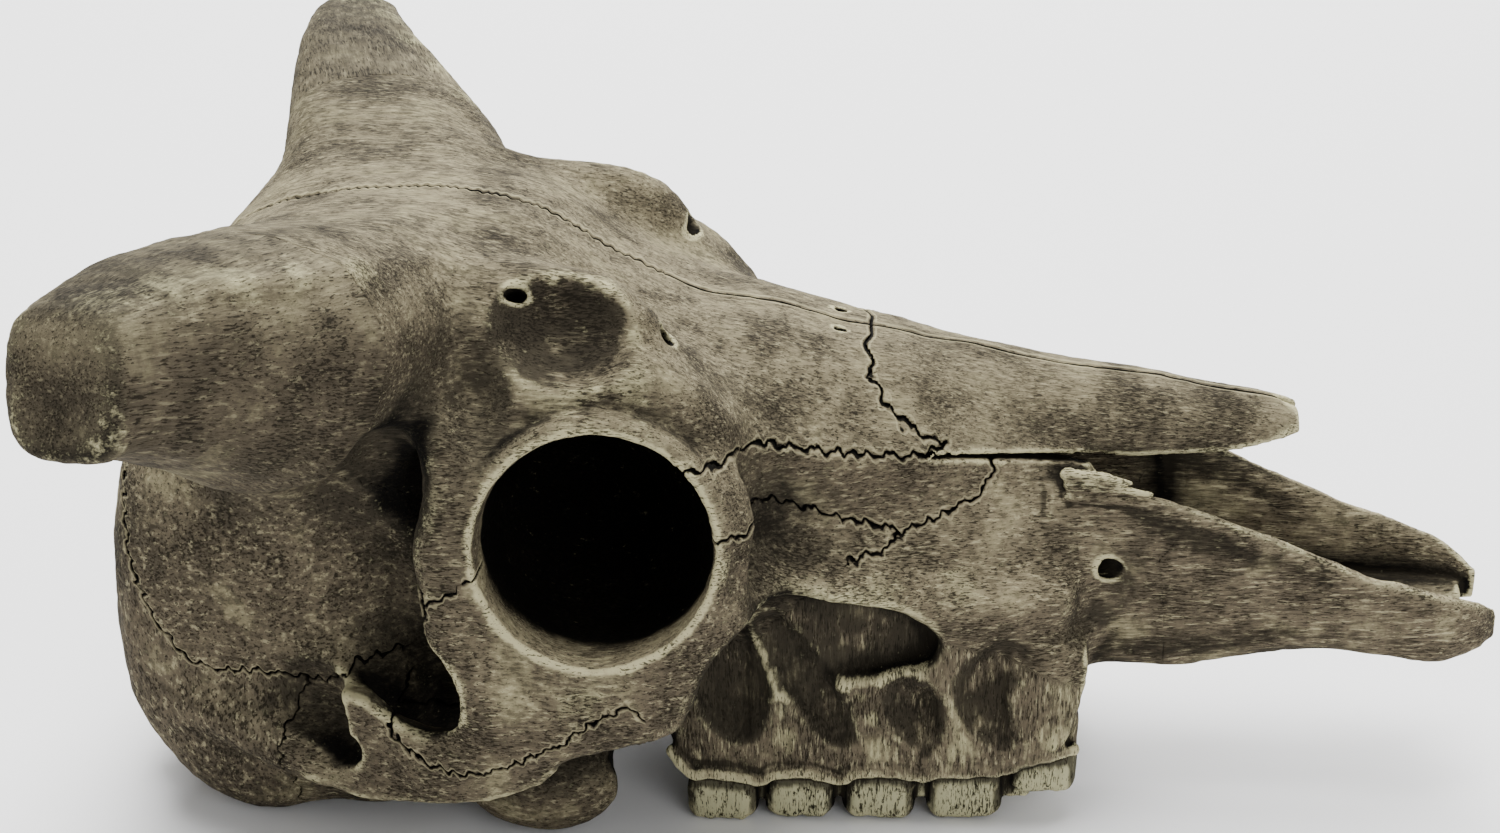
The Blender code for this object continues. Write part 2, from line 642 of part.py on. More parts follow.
def outlines():
    """Where each bone ends, drawn in side view as X and Z, or from above as X and Y for the horns."""
    nose_root = [
        (0.058, 0.1225), (0.047, 0.1280), (0.040, 0.1340), (0.036, 0.1400), (0.035, 0.1460), (0.036, 0.1700),
    ]
    tear_top = [(0.006, 0.1295), (0.022, 0.1250), (0.039, 0.1220), (0.050, 0.1210)]
    tear_foot = [
        (0.046, 0.0985), (0.038, 0.1010), (0.028, 0.1035), (0.017, 0.1085), (0.007, 0.1120),
        (-0.013, 0.1135),
    ]
    eye_back = [(-0.040, 0.1120), (-0.070, 0.1030), (-0.084, 0.0940)]
    eye_front = (-0.015, 0.1325)
    back = [(-0.215, 0.1540), (-0.160, 0.1410), (-0.120, 0.1290), (-0.095, 0.1180)]
    return {
        "horn": [(-0.190, 0.062), (-0.070, 0.100), (-0.070, 0.250), (-0.220, 0.250), (-0.220, 0.062)],
        "frontal": [
            *back, *eye_back[::-1], (-0.034, 0.117), eye_front, *tear_top, *nose_root,
            (0.036, 0.250), (-0.215, 0.250),
        ],
        "nasal": [
            tear_top[-1], (0.060, 0.1195), (0.085, 0.1166), (0.112, 0.1132), (0.170, 0.1060), (0.170, 0.200),
            (0.034, 0.200), *nose_root[::-1],
        ],
        "lacrimal": [
            eye_front, *tear_top, (0.060, 0.1195), (0.071, 0.1180), (0.072, 0.1120), (0.067, 0.1070),
            (0.058, 0.1030), *tear_foot,
        ],
        "cheekbone": [
            *tear_foot[::-1], (0.041, 0.094), (0.031, 0.092), (0.027, 0.088), (0.018, 0.079), (0.004, 0.063),
            (-0.014, 0.058), (-0.022, 0.060), (-0.030, 0.066), (-0.040, 0.060), (-0.049, 0.053),
            (-0.058, 0.048), (-0.066, 0.044), (-0.076, 0.042), (-0.090, 0.046), (-0.098, 0.052),
            (-0.090, 0.066), (-0.088, 0.080),
            *eye_back[::-1],
        ],
        "muzzle_bone": [
            (0.150, 0.130), (0.128, 0.096), (0.121, 0.086), (0.124, 0.066), (0.126, 0.030), (0.260, 0.030),
            (0.260, 0.130),
        ],
        "upper_jaw": [
            (-0.025, -0.010), (-0.025, 0.050), (-0.016, 0.064), (-0.004, 0.075), (-0.004, 0.130),
            (0.170, 0.130), (0.170, -0.010),
        ],
    }


def part_bones(skull, home):
    """Parts the skull into its bones along the sutures; what is left is the braincase."""
    inner = {"lacrimal": 0.030, "cheekbone": 0.046}
    for bone, outline in outlines().items():
        upright = bone == "horn"
        low = HORN_LOW if upright else inner.get(bone, SUTURE_GAP / 2)
        high = 0.260 if upright else 0.200
        for word, side in SIDES.items():
            part_off(skull, f"{bone}_{word}", home, outline, low, high, side, upright)
    largest_shell(skull)
    skull.name = "braincase"
    place(skull, home)


def settle(home):
    """Puts the origin on the floor under the middle of the skull."""
    corners = np.array([v.co for obj in home.objects for v in obj.data.vertices])
    low, high = corners.min(axis=0), corners.max(axis=0)
    shift = Matrix.Translation((-(low[0] + high[0]) / 2, 0, -low[2]))
    for obj in home.objects:
        obj.data.transform(shift)


def finish(home):
    """Gives each bone its own painted finish."""
    for obj in home.objects:
        material = bpy.data.materials.new(f"{obj.name}_finish")
        material.use_nodes = True
        shader = material.node_tree.nodes["Principled BSDF"]
        shader.inputs["Base Color"].default_value = BONE
        shader.inputs["Roughness"].default_value = ROUGHNESS
        obj.data.materials.clear()
        obj.data.materials.append(material)
        obj.data.shade_smooth()
        obj.data.set_sharp_from_angle(angle=math.radians(40))


def main():
    clear_scene()
    home = collection("cattle_skull_replica")
    skull = whole_skull()
    part_bones(skull, home)
    settle(home)
    finish(home)


main()
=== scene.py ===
"""Painted cast replica of a horned cattle skull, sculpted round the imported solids.

The shape is worked out in millimetres: x forward to the muzzle, y away from the middle plane, alike on both
sides, and z up from the table. It is moved into the solids' frame when its meshes are made.
"""

import math

import bpy
import numpy as np
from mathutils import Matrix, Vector


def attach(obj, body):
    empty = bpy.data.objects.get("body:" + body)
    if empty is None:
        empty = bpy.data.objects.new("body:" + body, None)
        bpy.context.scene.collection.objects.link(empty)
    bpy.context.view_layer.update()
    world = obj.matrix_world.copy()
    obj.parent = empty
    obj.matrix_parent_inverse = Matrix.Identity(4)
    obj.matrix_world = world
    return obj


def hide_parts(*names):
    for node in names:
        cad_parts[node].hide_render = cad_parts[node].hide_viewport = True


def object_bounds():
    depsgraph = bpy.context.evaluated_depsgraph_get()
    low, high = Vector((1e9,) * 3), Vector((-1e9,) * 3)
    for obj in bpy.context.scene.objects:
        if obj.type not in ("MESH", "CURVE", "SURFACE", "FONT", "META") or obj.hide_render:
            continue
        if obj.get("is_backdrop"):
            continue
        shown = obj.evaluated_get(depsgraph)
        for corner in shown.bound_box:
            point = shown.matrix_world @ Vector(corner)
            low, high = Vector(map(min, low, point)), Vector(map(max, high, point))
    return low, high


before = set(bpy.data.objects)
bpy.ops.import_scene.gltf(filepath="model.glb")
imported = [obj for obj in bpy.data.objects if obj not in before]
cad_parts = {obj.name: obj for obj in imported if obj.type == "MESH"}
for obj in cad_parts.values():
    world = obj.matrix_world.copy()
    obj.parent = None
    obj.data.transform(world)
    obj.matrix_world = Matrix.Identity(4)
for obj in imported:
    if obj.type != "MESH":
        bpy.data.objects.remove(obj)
cad_box = [[float(v) for v in corner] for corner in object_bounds()]

# Braincase. The rounded vault behind the eyes, with the flat broad forehead over it. All forms are blended
# like clay: each is a field of distances that is added to the sculpture or cut from it with a soft seam.
STEPS = []
SHADES = []


def add(form, seam):
    """Adds a form to the sculpture, blended over seam millimetres."""
    STEPS.append((1, form, seam))


def cut(form, seam, shade=0.0):
    """Cuts a form out, its edge rounded over seam millimetres, and lays painted shade in the hollow, with the
    replica's own dark paint, as dark as shade says.
    """
    STEPS.append((-1, form, seam))
    if shade:
        SHADES.append((form, shade))


def soft_min(a, b, seam):
    """The lower of a and b, with the crease between them filled by a parabola seam wide."""
    h = np.clip(0.5 + 0.5 * (b - a) / seam, 0, 1)
    return b + (a - b) * h - seam * h * (1 - h)


def curve_through(rows, steps):
    """Rows on a Catmull-Rom curve through the given rows, steps to each interval."""
    rows = np.asarray(rows, float)
    p = np.vstack([2 * rows[0] - rows[1], rows, 2 * rows[-1] - rows[-2]])
    t = (np.arange(steps) / steps)[:, None]
    spans = [
        (2 * b + (c - a) * t + (2 * a - 5 * b + 4 * c - d) * t**2 + (3 * b - a - 3 * c + d) * t**3) / 2
        for a, b, c, d in zip(p, p[1:], p[2:], p[3:])
    ]
    return np.vstack([*spans, rows[-1:]])


def hull(sections, roundness, middle=0.0):
    """A hull along x. Each section is x, low z, high z, half width and the top's share of it, and is the
    superellipse |y / half|^n + |z / half height|^n = 1. Two more numbers lean it: y of its foot and its top.
    Its distance is the superellipse's size less one, over how fast that size grows."""
    rows = curve_through(sections, 6)
    if rows.shape[1] == 5:
        rows = np.column_stack([rows, np.full((len(rows), 2), middle)])
    xs, lows, highs, halves, _, feet, tops = rows.T
    sides = np.concatenate([feet - halves, feet + halves, tops - halves, tops + halves])
    box = ((xs[0], sides.min(), lows.min()), (xs[-1], sides.max(), highs.max()))

    def form(x, y, z):
        low, high, half, share, foot, top = (np.interp(x, xs, v) for v in rows.T[1:])
        tall = (high - low) / 2
        up = (z - (low + high) / 2) / tall
        wide = half * (1 + (share - 1) * np.clip(up, 0, 1))
        out = np.abs(y - (foot + top) / 2 - (top - foot) / 2 * np.clip(up, -1, 1)) / wide
        up = np.abs(up)
        size = np.maximum((out**roundness + up**roundness) ** (1 / roundness), 0.3)
        grows = np.hypot(out ** (roundness - 1) / wide, up ** (roundness - 1) / tall)
        grows = grows * size ** (1 - roundness)
        d = (size - 1) / np.maximum(grows, 0.4 / np.maximum(wide, tall))
        return np.maximum(d, np.maximum(xs[0] - x, x - xs[-1]))

    return form, box


def egg(middle, radii, tilt=0.0, turn=0.0):
    """An ellipsoid, tilted about y and turned about z in degrees, as its scaled distance."""
    middle, radii = np.array(middle, float), np.array(radii, float)
    a, b = math.radians(tilt), math.radians(turn)
    reach = radii.max() if tilt or turn else radii

    def form(x, y, z):
        x, y, z = x - middle[0], y - middle[1], z - middle[2]
        x, y = x * math.cos(b) + y * math.sin(b), y * math.cos(b) - x * math.sin(b)
        x, z = x * math.cos(a) + z * math.sin(a), z * math.cos(a) - x * math.sin(a)
        k0 = np.sqrt((x / radii[0]) ** 2 + (y / radii[1]) ** 2 + (z / radii[2]) ** 2) + 1e-6
        k1 = np.sqrt((x / radii[0] ** 2) ** 2 + (y / radii[1] ** 2) ** 2 + (z / radii[2] ** 2) ** 2) + 1e-9
        return k0 * (k0 - 1) / k1

    return form, (middle - reach, middle + reach)


def rope(path, flat=(1, 1, 1), steps=4, power=2.0):
    """A limb along a smooth path of x, y, z, radius, flattened by flat: the distance to the path's nearest
    stretch, less the radius there. A power over 2 squares its section."""
    flat = np.array(flat, float)
    rows = curve_through(path, steps)
    line, radius = rows[:, :3] / flat, rows[:, 3]
    reach = radius[:, None] * flat
    box = ((line * flat - reach).min(axis=0), (line * flat + reach).max(axis=0))

    def form(x, y, z):
        x, y, z = x / flat[0], y / flat[1], z / flat[2]
        best = np.full(x.shape, 1e3, np.float32)
        for a, b, ra, rb in zip(line, line[1:], radius, radius[1:]):
            s = b - a
            t = ((x - a[0]) * s[0] + (y - a[1]) * s[1] + (z - a[2]) * s[2]) / (s @ s)
            t = np.clip(t, 0, 1)
            away = [np.abs(v - m - t * n) for v, m, n in zip((x, y, z), a, s)]
            if power == 2:
                gap = np.sqrt(away[0] ** 2 + away[1] ** 2 + away[2] ** 2)
            else:
                gap = (away[0] ** power + away[1] ** power + away[2] ** power) ** (1 / power)
            best = np.minimum(best, gap - ra - t * (rb - ra))
        return best * flat.min()

    return form, box


def plane(point, normal, reach):
    """All that lies beyond a plane, within reach of a point on it."""
    point, normal = np.array(point, float), np.array(normal, float)
    normal /= np.linalg.norm(normal)

    def form(x, y, z):
        return -((x - point[0]) * normal[0] + (y - point[1]) * normal[1] + (z - point[2]) * normal[2])

    return form, (point - reach, point + reach)


def outline_distance(outline, u, v):
    """Distance in a plane from u, v to a closed outline, negative inside it."""
    best = np.full(u.shape, 1e6)
    inside = np.zeros(u.shape, bool)
    for (a, b), (c, d) in zip(outline, np.roll(outline, -1, axis=0)):
        t = np.clip(((u - a) * (c - a) + (v - b) * (d - b)) / ((c - a) ** 2 + (d - b) ** 2), 0, 1)
        best = np.minimum(best, (u - a - t * (c - a)) ** 2 + (v - b - t * (d - b)) ** 2)
        crosses = (b > v) != (d > v)
        if d != b:
            inside ^= crosses & (u < (c - a) * (v - b) / (d - b) + a)
    return np.where(inside, -1, 1) * np.sqrt(best)


def plate(outline, spine, thick, corner):
    """A plate, thick to each side of its spine's y along x, with a smooth outline in side view, its edges
    rounded over corner."""
    closed = curve_through([*outline, outline[0]], 3)[:-1]
    spine = curve_through(spine, 4)
    low, high = closed.min(axis=0), closed.max(axis=0)
    box = ((low[0], spine[:, 1].min() - thick, low[1]), (high[0], spine[:, 1].max() + thick, high[1]))

    def form(x, y, z):
        across = np.abs(y - np.interp(x, spine[:, 0], spine[:, 1])) - thick
        return -soft_min(-outline_distance(closed, x, z), -across, corner)

    return form, box


add(hull([
    (-190, 42, 74, 16, 1), (-187, 28, 100, 39, 1), (-177.5, 14, 133, 56.5, 1), (-155, 5, 159, 65, 1),
    (-125, 13, 173, 65, 1), (-95, 30, 170, 58, 1), (-60, 45, 162, 48, 1), (-30, 48, 150, 44, 1),
    (5, 52, 128, 36, 1), (30, 60, 105, 24, 1),
], 2.5), 1)
add(hull([
    (-167, 138, 154, 30, 1), (-157, 136, 169.5, 54, 1), (-144, 133, 177, 61, 0.9),
    (-123, 130, 182, 67, 0.82), (-103, 130, 184.5, 69, 0.8), (-80, 130, 185, 70, 0.8),
    (-60, 130, 180, 69, 0.8), (-40, 126, 168, 66, 0.78), (-18, 114, 156, 61, 0.72),
    (4, 108, 150.8, 55, 0.68), (30, 102, 143.8, 46, 0.66), (50, 102, 140.5, 40, 0.66),
    (75, 104, 133, 30, 0.66), (96, 106, 126, 22, 0.66),
], 2.7), 14)

# Face. The long wedge of the upper jaws behind the nose opening, slightly hollow on its sides.
add(hull([
    (-50, 46, 150, 44, 0.9), (-15, 36, 150, 54, 0.8), (18, 34, 146, 55, 0.74), (50, 34, 138, 49, 0.7),
    (80, 38, 126, 42, 0.72), (100, 47, 118, 36.4, 0.78),
    (112, 51.5, 112, 32.8, 0.99), (126, 51, 103, 29.4, 1.12),
], 2.8), 12)

# Horn stumps. Bony cores cut short and rounded off, flatter on top, that grow out of the corners of the
# forehead.
add(rope([
    (-115, 32, 145, 35), (-123, 70, 158.6, 33.6), (-131, 95, 169.2, 29), (-140.8, 128, 181, 23.2),
    (-146.5, 151, 186.4, 19), (-148.5, 168, 187.8, 17.6), (-149.5, 188, 189.4, 17.2),
], (0.87, 1, 1), steps=45, power=3.3), 16)
add(rope([
    (-96, 40, 161, 21), (-100, 66, 166.5, 21), (-112, 92, 172, 19), (-126, 112, 176, 16),
]), 12)
cut(plane((-149, 172.2, 181.6), (-0.14, 0.95, 0.24), 30), 8)
cut(egg((-152, 184.6, 184), (12, 14, 12)), 5)
add(rope([
    (-158, 150, 197.5, 3), (-146, 154, 200.5, 3.4), (-126, 131, 197.5, 3.6), (-110, 104, 191.5, 3.8),
    (-97, 78, 185.5, 3.5), (-86, 58, 180, 3),
]), 3)

# Brow. A ridge over each eye from the horn to the nose, which drops in a step in front of the forehead.
add(rope([
    (-98, 46, 172, 9), (-72, 49, 169.5, 9), (-52, 50, 168.7, 10), (-37, 50.5, 163, 11.5),
    (-24.5, 50, 148.5, 10.5), (-10, 48, 135, 9),
]), 12)

# Eye sockets. A bony tube round each eye that ends in a thin raised rim, leaning in at the top, with the bar
# of bone behind it.
EYE = (-38.0, 83.2, 109.2)
RIM_LONG, RIM_TALL, RIM_THICK = 34.3, 33.8, 2.1
add(rope([(-41, 20, 112, 44), (-39.5, 40, 108.5, 42.5), (-38.5, 58.5, 105.6, 41)], steps=8), 12)
turn = np.linspace(0, math.tau, 65)
rim = np.column_stack([
    EYE[0] + RIM_LONG * np.cos(turn),
    EYE[1] - 1.0 - 2.2 * np.cos(turn) - 5.0 * np.sin(turn),
    EYE[2] + RIM_TALL * np.sin(turn),
    np.full(len(turn), RIM_THICK),
])
add(rope([
    (-72, 66, 134, 8), (-64, 66, 142, 8.5), (-50, 65.5, 149, 9), (-34, 64.5, 151, 9), (-20, 62.5, 146, 8.5),
    (-9, 61, 136, 7.5),
]), 9)
add(rope(rim, steps=1), 6)
add(rope([
    (-66, 60, 158, 11), (-78, 76, 136, 8.5), (-82, 83, 112, 7), (-79, 85, 88, 8), (-68, 86, 66, 11),
], (1, 0.8, 1)), 10)

# Cheek arch. The flat bar of bone from under the eye back to the ear, with the knob of the jaw joint.
add(rope([
    (6, 62, 86, 12), (-16, 78, 69, 15.5), (-45, 84, 62, 16), (-72, 85, 47, 11), (-84, 84, 42, 10),
], (1, 0.62, 1)), 8)
add(rope([
    (-68, 80, 84, 8), (-56, 80, 76, 9), (-36, 81, 72, 10), (-14, 79, 78, 9), (-4, 74, 90, 8),
    (-3, 72, 104, 7), (-6, 69, 120, 6),
], (1, 0.8, 1)), 6)
add(plate([
    (-72, 57), (-76, 51.5), (-82, 50), (-90, 53), (-99, 57.5), (-106, 60.8), (-113, 60.5), (-117, 56.5),
    (-116, 51), (-112, 47), (-109, 43), (-110, 38), (-116, 34), (-124, 31), (-110, 27), (-97, 28), (-79, 30),
    (-64, 33), (-50, 42), (-56, 54),
], [(-140, 66), (-116, 74), (-98, 80), (-80, 83.5), (-50, 85)], 4.5, 3.5), 3)
add(rope([
    (-158, 56, 46, 8), (-146, 62, 42, 7.5), (-132, 66, 36, 6.5), (-120, 69.5, 32, 5), (-110, 72.5, 32, 4),
    (-105, 75, 36, 3.5),
]), 5)

# Skull base. The joints for the neck, the processes beside them, the ear bulbs and the pterygoid plates.
add(egg((-176.5, 20, 36), (15, 13, 18.5), tilt=-20), 4)
add(egg((-147.5, 41.5, 40.2), (32.5, 21, 40), tilt=24), 6)
add(egg((-118, 56, 46), (27, 16, 24)), 10)
add(egg((-112, 46, 27), (33, 13.5, 20.5)), 8)
add(egg((-80, 40, 48), (30, 15, 22)), 8)
add(rope([
    (-50, 26, 74, 23), (-54, 36, 46, 21), (-57, 46, 27, 18.5), (-56, 53, 18, 12.5),
], (1, 0.6, 1)), 8)
add(egg((-59, 54.5, 17.5), (22.5, 9.5, 13.2)), 6)

# Upper jaws. The crest under the cheek, the ridge that holds the tooth roots, and the cave between the two.
add(rope([
    (-16, 70, 90, 13), (10, 60, 88, 11), (36, 50, 81, 9.5), (62, 44, 74, 8.5), (90, 38, 75, 7.5),
]), 8)
add(hull([
    (-22, 28, 60, 8, 1), (-14, 16, 66, 12.2, 1), (20, 15.5, 68, 12.5, 1), (56, 16.5, 68, 12, 1),
    (78, 18, 67, 11.5, 1), (90, 22, 66, 11, 1), (101, 24, 62, 8, 1),
], 3.4, middle=36.5), 8)

# Hollows. In the temples, over the brow, behind the bar, in the face, over the teeth and in the eye sockets.
# The rim and the bar before it are laid on again over the hollows of the face.
cut(egg((-107, 92, 98), (20, 28, 37), tilt=8), 5, 0.35)
cut(egg((-97, 86, 126), (12.5, 17, 17)), 6, 0.5)
add(rope([(-116, 60, 113, 4), (-106, 60, 113, 5), (-96, 58, 108, 5), (-92, 55, 98, 5), (-91, 53, 82, 5)]), 6)
cut(rope([
    (-97, 78, 78, 8.5), (-87, 76, 73, 12), (-80.5, 75, 66, 12.5), (-82, 74, 61, 11), (-91, 73, 60, 8.5),
], (1, 1.5, 1)), 1.5, 0.7)
cut(rope([
    (-162, 76, 62, 7), (-146, 78, 61, 10.5), (-130, 78, 58, 12.5), (-121, 74, 53.5, 11), (-113, 74, 44, 5.5),
    (-110, 78, 42.5, 4),
]), 3, 0.5)
cut(egg((-38, 84, 181), (26, 19, 20), turn=8), 8)
cut(egg((-45.5, 72.6, 172.0), (23, 19, 19)), 3.5, 0.75)
cut(egg((-71, 82.5, 156), (9.5, 14, 16)), 7, 0.4)
cut(plate([
    (-14, 55), (-8, 73), (0, 82), (9, 85.5), (23, 84), (37, 80.5), (46, 77.5), (53.5, 72), (57, 65.5),
    (56, 60), (51, 56.5), (42, 54.5), (30, 53), (15, 50), (0, 47), (-13, 47),
], [(-20, 75), (10, 71), (30, 67), (60, 61)], 22, 5), 4, 0.75)
for pit in (
    [(-3.5, 53, 64, 9), (-2.5, 53.5, 52, 12), (-2, 53, 44, 11), (0, 51.5, 36.5, 6)],
    [(9, 51.5, 67, 7), (16.5, 51.5, 56, 7.9), (23.5, 51, 45, 7.4), (29.5, 50, 34, 4)],
    [(48, 51.5, 47.5, 7), (51.5, 51.5, 41.5, 9), (54, 50.5, 34, 5.2), (55.5, 49.5, 30.5, 3)],
    [
        (82, 51.5, 61.5, 4.2), (76, 51.5, 58.5, 7.5), (71.5, 51.5, 50.5, 9), (72, 51, 42, 7.6),
        (77, 50, 34.5, 4.2),
    ],
):
    cut(rope(pit, (1, 0.95, 1)), 2.5, 0.85)
cut(egg((109, 42, 72), (10, 9.5, 13)), 5, 0.5)
cut(egg((45, 74, 104), (44, 26, 14), tilt=6), 12)
cut(egg((23, 80, 100), (23, 20, 10)), 10)
add(rope([
    (-20, 81, 77, 4), (-9, 78, 86, 5), (-3, 75, 95, 5), (-1.5, 73, 105, 5), (-3, 71, 116, 5),
    (-9, 69, 127, 5),
]), 8)
add(rope(rim, steps=1), 4)
cut(rope([
    (-50, 20, 104, 19), (-45, 34, 104, 27), (-39.5, 58, 105.6, 32.4), (-38, 83, 109.2, 32.5),
    (-37, 118, 114.4, 36.5),
], steps=10), 1.6)

# Gum line. The front of each tooth ridge is cut off square, and a thin scalloped collar of bone runs along
# the foot of the ridge.
COLLAR_THICK = 1.9
COLLAR = [
    (-21, 46, 25), (-15, 48, 19), (-10, 48.5, 19.5), (-2, 48.5, 18.8), (5.5, 47.5, 16.8), (10, 48, 19.3),
    (20, 47.5, 20), (29, 46.5, 17.2), (34, 47, 19.8), (44, 46.5, 20.6), (53, 45.5, 18.6), (58.5, 46, 20.4),
    (70, 45.5, 21), (78.5, 44.5, 21.2), (83.5, 44.5, 24.5), (91, 44, 26), (98.5, 42, 27),
]
cut(plane((99.5, 38, 42), (1, 0.15, -0.28), 20), 3)
add(rope([(x, y - 0.5, z, COLLAR_THICK) for x, y, z in COLLAR], steps=3), 3)


# Nose roof. The two nasal bones make one thin arch over the nose opening, forked at its tip. It is laid on
# after the opening under it is cut.
def arch(sections):
    """An arch along x: the part of an elliptical ring above its foot. Each section is x, z of its ridge, z of
    its foot, half width and thickness."""
    xs, ridges, feet, halves, walls = curve_through(sections, 5).T
    box = ((xs[0], -halves.max(), feet.min()), (xs[-1], halves.max(), ridges.max()))

    def ring(y, z, half, rise):
        k0 = np.hypot(y / half, z / rise) + 1e-6
        return k0 * (k0 - 1) / (np.hypot(y / half**2, z / rise**2) + 1e-9)

    def form(x, y, z):
        ridge, foot, half, wall = (np.interp(x, xs, v) for v in (ridges, feet, halves, walls))
        z = z - foot
        outer = ring(y, z, half, ridge - foot)
        inner = ring(y, z, half - wall, ridge - foot - wall)
        shell = np.maximum(np.maximum(outer, -inner), -z)
        return np.maximum(shell, np.maximum(xs[0] - x, x - xs[-1]))

    return form, box


NOSE_ROOF = [
    (32, 138, 118, 33, 6), (46, 140.5, 116.5, 32.5, 6), (62, 140.5, 115, 29.5, 6),
    (88, 135.5, 114.5, 25, 5.5), (112, 132.5, 113.5, 20.5, 5), (140, 128, 113.5, 16, 4.5),
    (154, 125.2, 115.5, 12.5, 4), (163, 122.5, 117, 9, 3),
]

# Nose, palate and airway. The opening under the nose, the vault between the tooth rows and the passage
# behind it, the hole for the neck, and the slit along each side of the nose.
cut(hull([
    (20, 70, 98, 10, 1), (45, 60, 114, 17, 1), (75, 54, 122, 22, 1), (105, 52, 126, 25.5, 1),
    (132, 52, 126, 28, 1),
], 2.8), 2)
cut(hull([
    (-32, -10, 34, 24, 0.9), (0, -10, 37, 26, 0.8), (50, -10, 39, 24, 0.8), (85, -10, 41, 21, 0.8),
    (113, -10, 46, 18, 0.8),
], 3.2), 4)
cut(hull([
    (-80, 10, 50, 17, 1), (-50, 8, 62, 20, 1), (-20, 20, 66, 17, 1), (-5, 34, 62, 10, 1),
], 2.4), 4)
cut(egg((-196, 0, 52), (30, 16, 14)), 3)
add(arch(NOSE_ROOF), 2)
cut(egg((170, 0, 118), (14, 2.6, 14)), 1)
cut(plate([
    (54, 120.2), (62, 119.3), (85, 116.4), (112, 113), (128, 111), (128, 108.5), (112, 110.9), (85, 114.7),
    (62, 117.9), (54, 119),
], [(40, 40), (62, 34), (90, 27), (128, 24)], 9, 0.5), 0.6)

# Muzzle. A thin upright plate on each side that flares outwards, with the flat shelf of the palate along its
# foot.
add(hull([
    (90, 50, 107, 5, 1, 30, 29), (107, 50, 107.5, 4.6, 1, 28.5, 29.5), (119, 49.2, 105, 4.2, 1, 27.3, 30.5),
    (132, 49, 101, 4, 1, 26.2, 30.7), (144, 50.6, 96.3, 3.9, 1, 25.5, 30.6),
    (159, 54.4, 90, 3.8, 1, 24.8, 28.6), (175, 55.6, 83.2, 3.8, 1, 24, 28),
    (184, 54, 79.2, 3.8, 1, 23.5, 27.6), (193, 52, 76.4, 3.7, 1, 23, 26),
    (205, 49.6, 72.7, 3.6, 1, 22, 25), (217, 51, 68.3, 3.2, 1, 18, 20.5), (225, 54, 62.5, 2.4, 1, 13, 13.5),
], 2.6), 5)
add(hull([
    (86, 46, 55, 15, 1), (115, 48, 54.5, 13, 1), (150, 51, 55.5, 11.5, 1), (170, 53, 57, 11.5, 1),
    (187, 52, 57, 11.5, 1), (208, 50, 57, 10, 1), (220, 53, 58, 6, 1),
], 3.0, middle=13.5), 2.5)

# Ragged edges and nerve holes. Splinters of the upper jaw point forwards over the muzzle, and small round
# holes for the nerves run in at the brow, beside it, at the nose root and in the upper jaw.
SPLINTERS = [(93, 112, 112, 109.6), (94, 109, 118, 106.2), (94, 105.5, 121, 103), (96, 102, 115, 100.4)]
for x, z, tip_x, tip_z in SPLINTERS:
    add(rope([(x, 31.5, z, 2), (x + 12, 31.6, z - 1.2, 1.8), (tip_x, 31.4, tip_z, 0.7)]), 0.5)
for hole, flat in (
    ([(-60.5, 60, 174.6, 2.2), (-61, 55, 171.6, 2), (-63, 46, 165, 1.7)], (1.4, 1, 0.85)),
    ([(-17.6, 55.1, 163.1, 2.8), (-20, 50.5, 160, 2.7), (-23.6, 43.5, 155.2, 2.2)], (1, 1, 1.35)),
    ([(112, 41, 82.5, 3.6), (107, 34.5, 83.5, 3), (98, 27, 85, 2.4)], (1, 1, 1.15)),
    ([(28, 9, 152, 1.8), (27, 8.3, 147, 1.5), (25, 8, 141, 1.2)], (1.3, 1, 1)),
):
    cut(rope(hole, flat), 0.8)

# Cheek teeth. Five worn blocks on each side, sunk in the tooth ridge behind its collar, each told by its
# middle x, its length and its low z. A thinner core joins them, so that the slots between them stay dark.
TEETH = [(-6, 21, 0.8), (17.4, 21.2, 1.3), (41, 21.6, 0.8), (66.8, 22.6, 1.2), (89.9, 20.2, 9.6)]
TOOTH_WIDE, TOOTH_TALL, CORE_WIDE, CORE_TALL = 13.5, 30, 6, 26
ROW_LEAN = 1.4


def block(middle, size, corner):
    """A box with its edges rounded over corner."""
    middle, half = np.array(middle, float), np.array(size, float) / 2

    def form(x, y, z):
        q = [np.abs(v - m) - h + corner for v, m, h in zip((x, y, z), middle, half)]
        beyond = np.sqrt(sum(np.maximum(v, 0) ** 2 for v in q))
        return beyond + np.minimum(np.maximum(np.maximum(q[0], q[1]), q[2]), 0) - corner

    return form, (middle - half, middle + half)


for k, (x, length, low) in enumerate(TEETH):
    add(block((x, 40.0 - ROW_LEAN * k, low + 15), (length, TOOTH_WIDE, TOOTH_TALL), 5), 1)
    if k < len(TEETH) - 1:
        add(block((x + 12, 39.0 - ROW_LEAN * k, low + 19), (16, CORE_WIDE, CORE_TALL), 2), 1)

# Bones. The casting keeps the skull's bones, parted along their sutures. Outlines are drawn in side view, and
# a bone is what is inside its outline, outside those before it, and further out than its INNER y. CELL is the
# fine grid's step in millimetres, and a coarse block is BLOCK cells wide.
CELL = 0.76
BLOCK = 4
LOW = np.array([-198.0, -CELL / 2, -3.0])
BLOCKS = np.ceil((np.array([232.0, 182.0, 214.0]) - LOW) / (CELL * BLOCK)).astype(int)
FAR = 12.0

# The sutures that two outlines share.
NOSE_ROOT = [(58, 122.5), (47, 128), (40, 134), (36, 140), (35, 146), (36, 170)]
UNDER_FRONTAL = [(-15, 132.5), (6, 129.5), (22, 125), (39, 122), (50, 121)]
OVER_CHEEKBONE = [(-13, 113.5), (7, 112), (17, 108.5), (28, 103.5), (38, 101), (46, 98.5)]

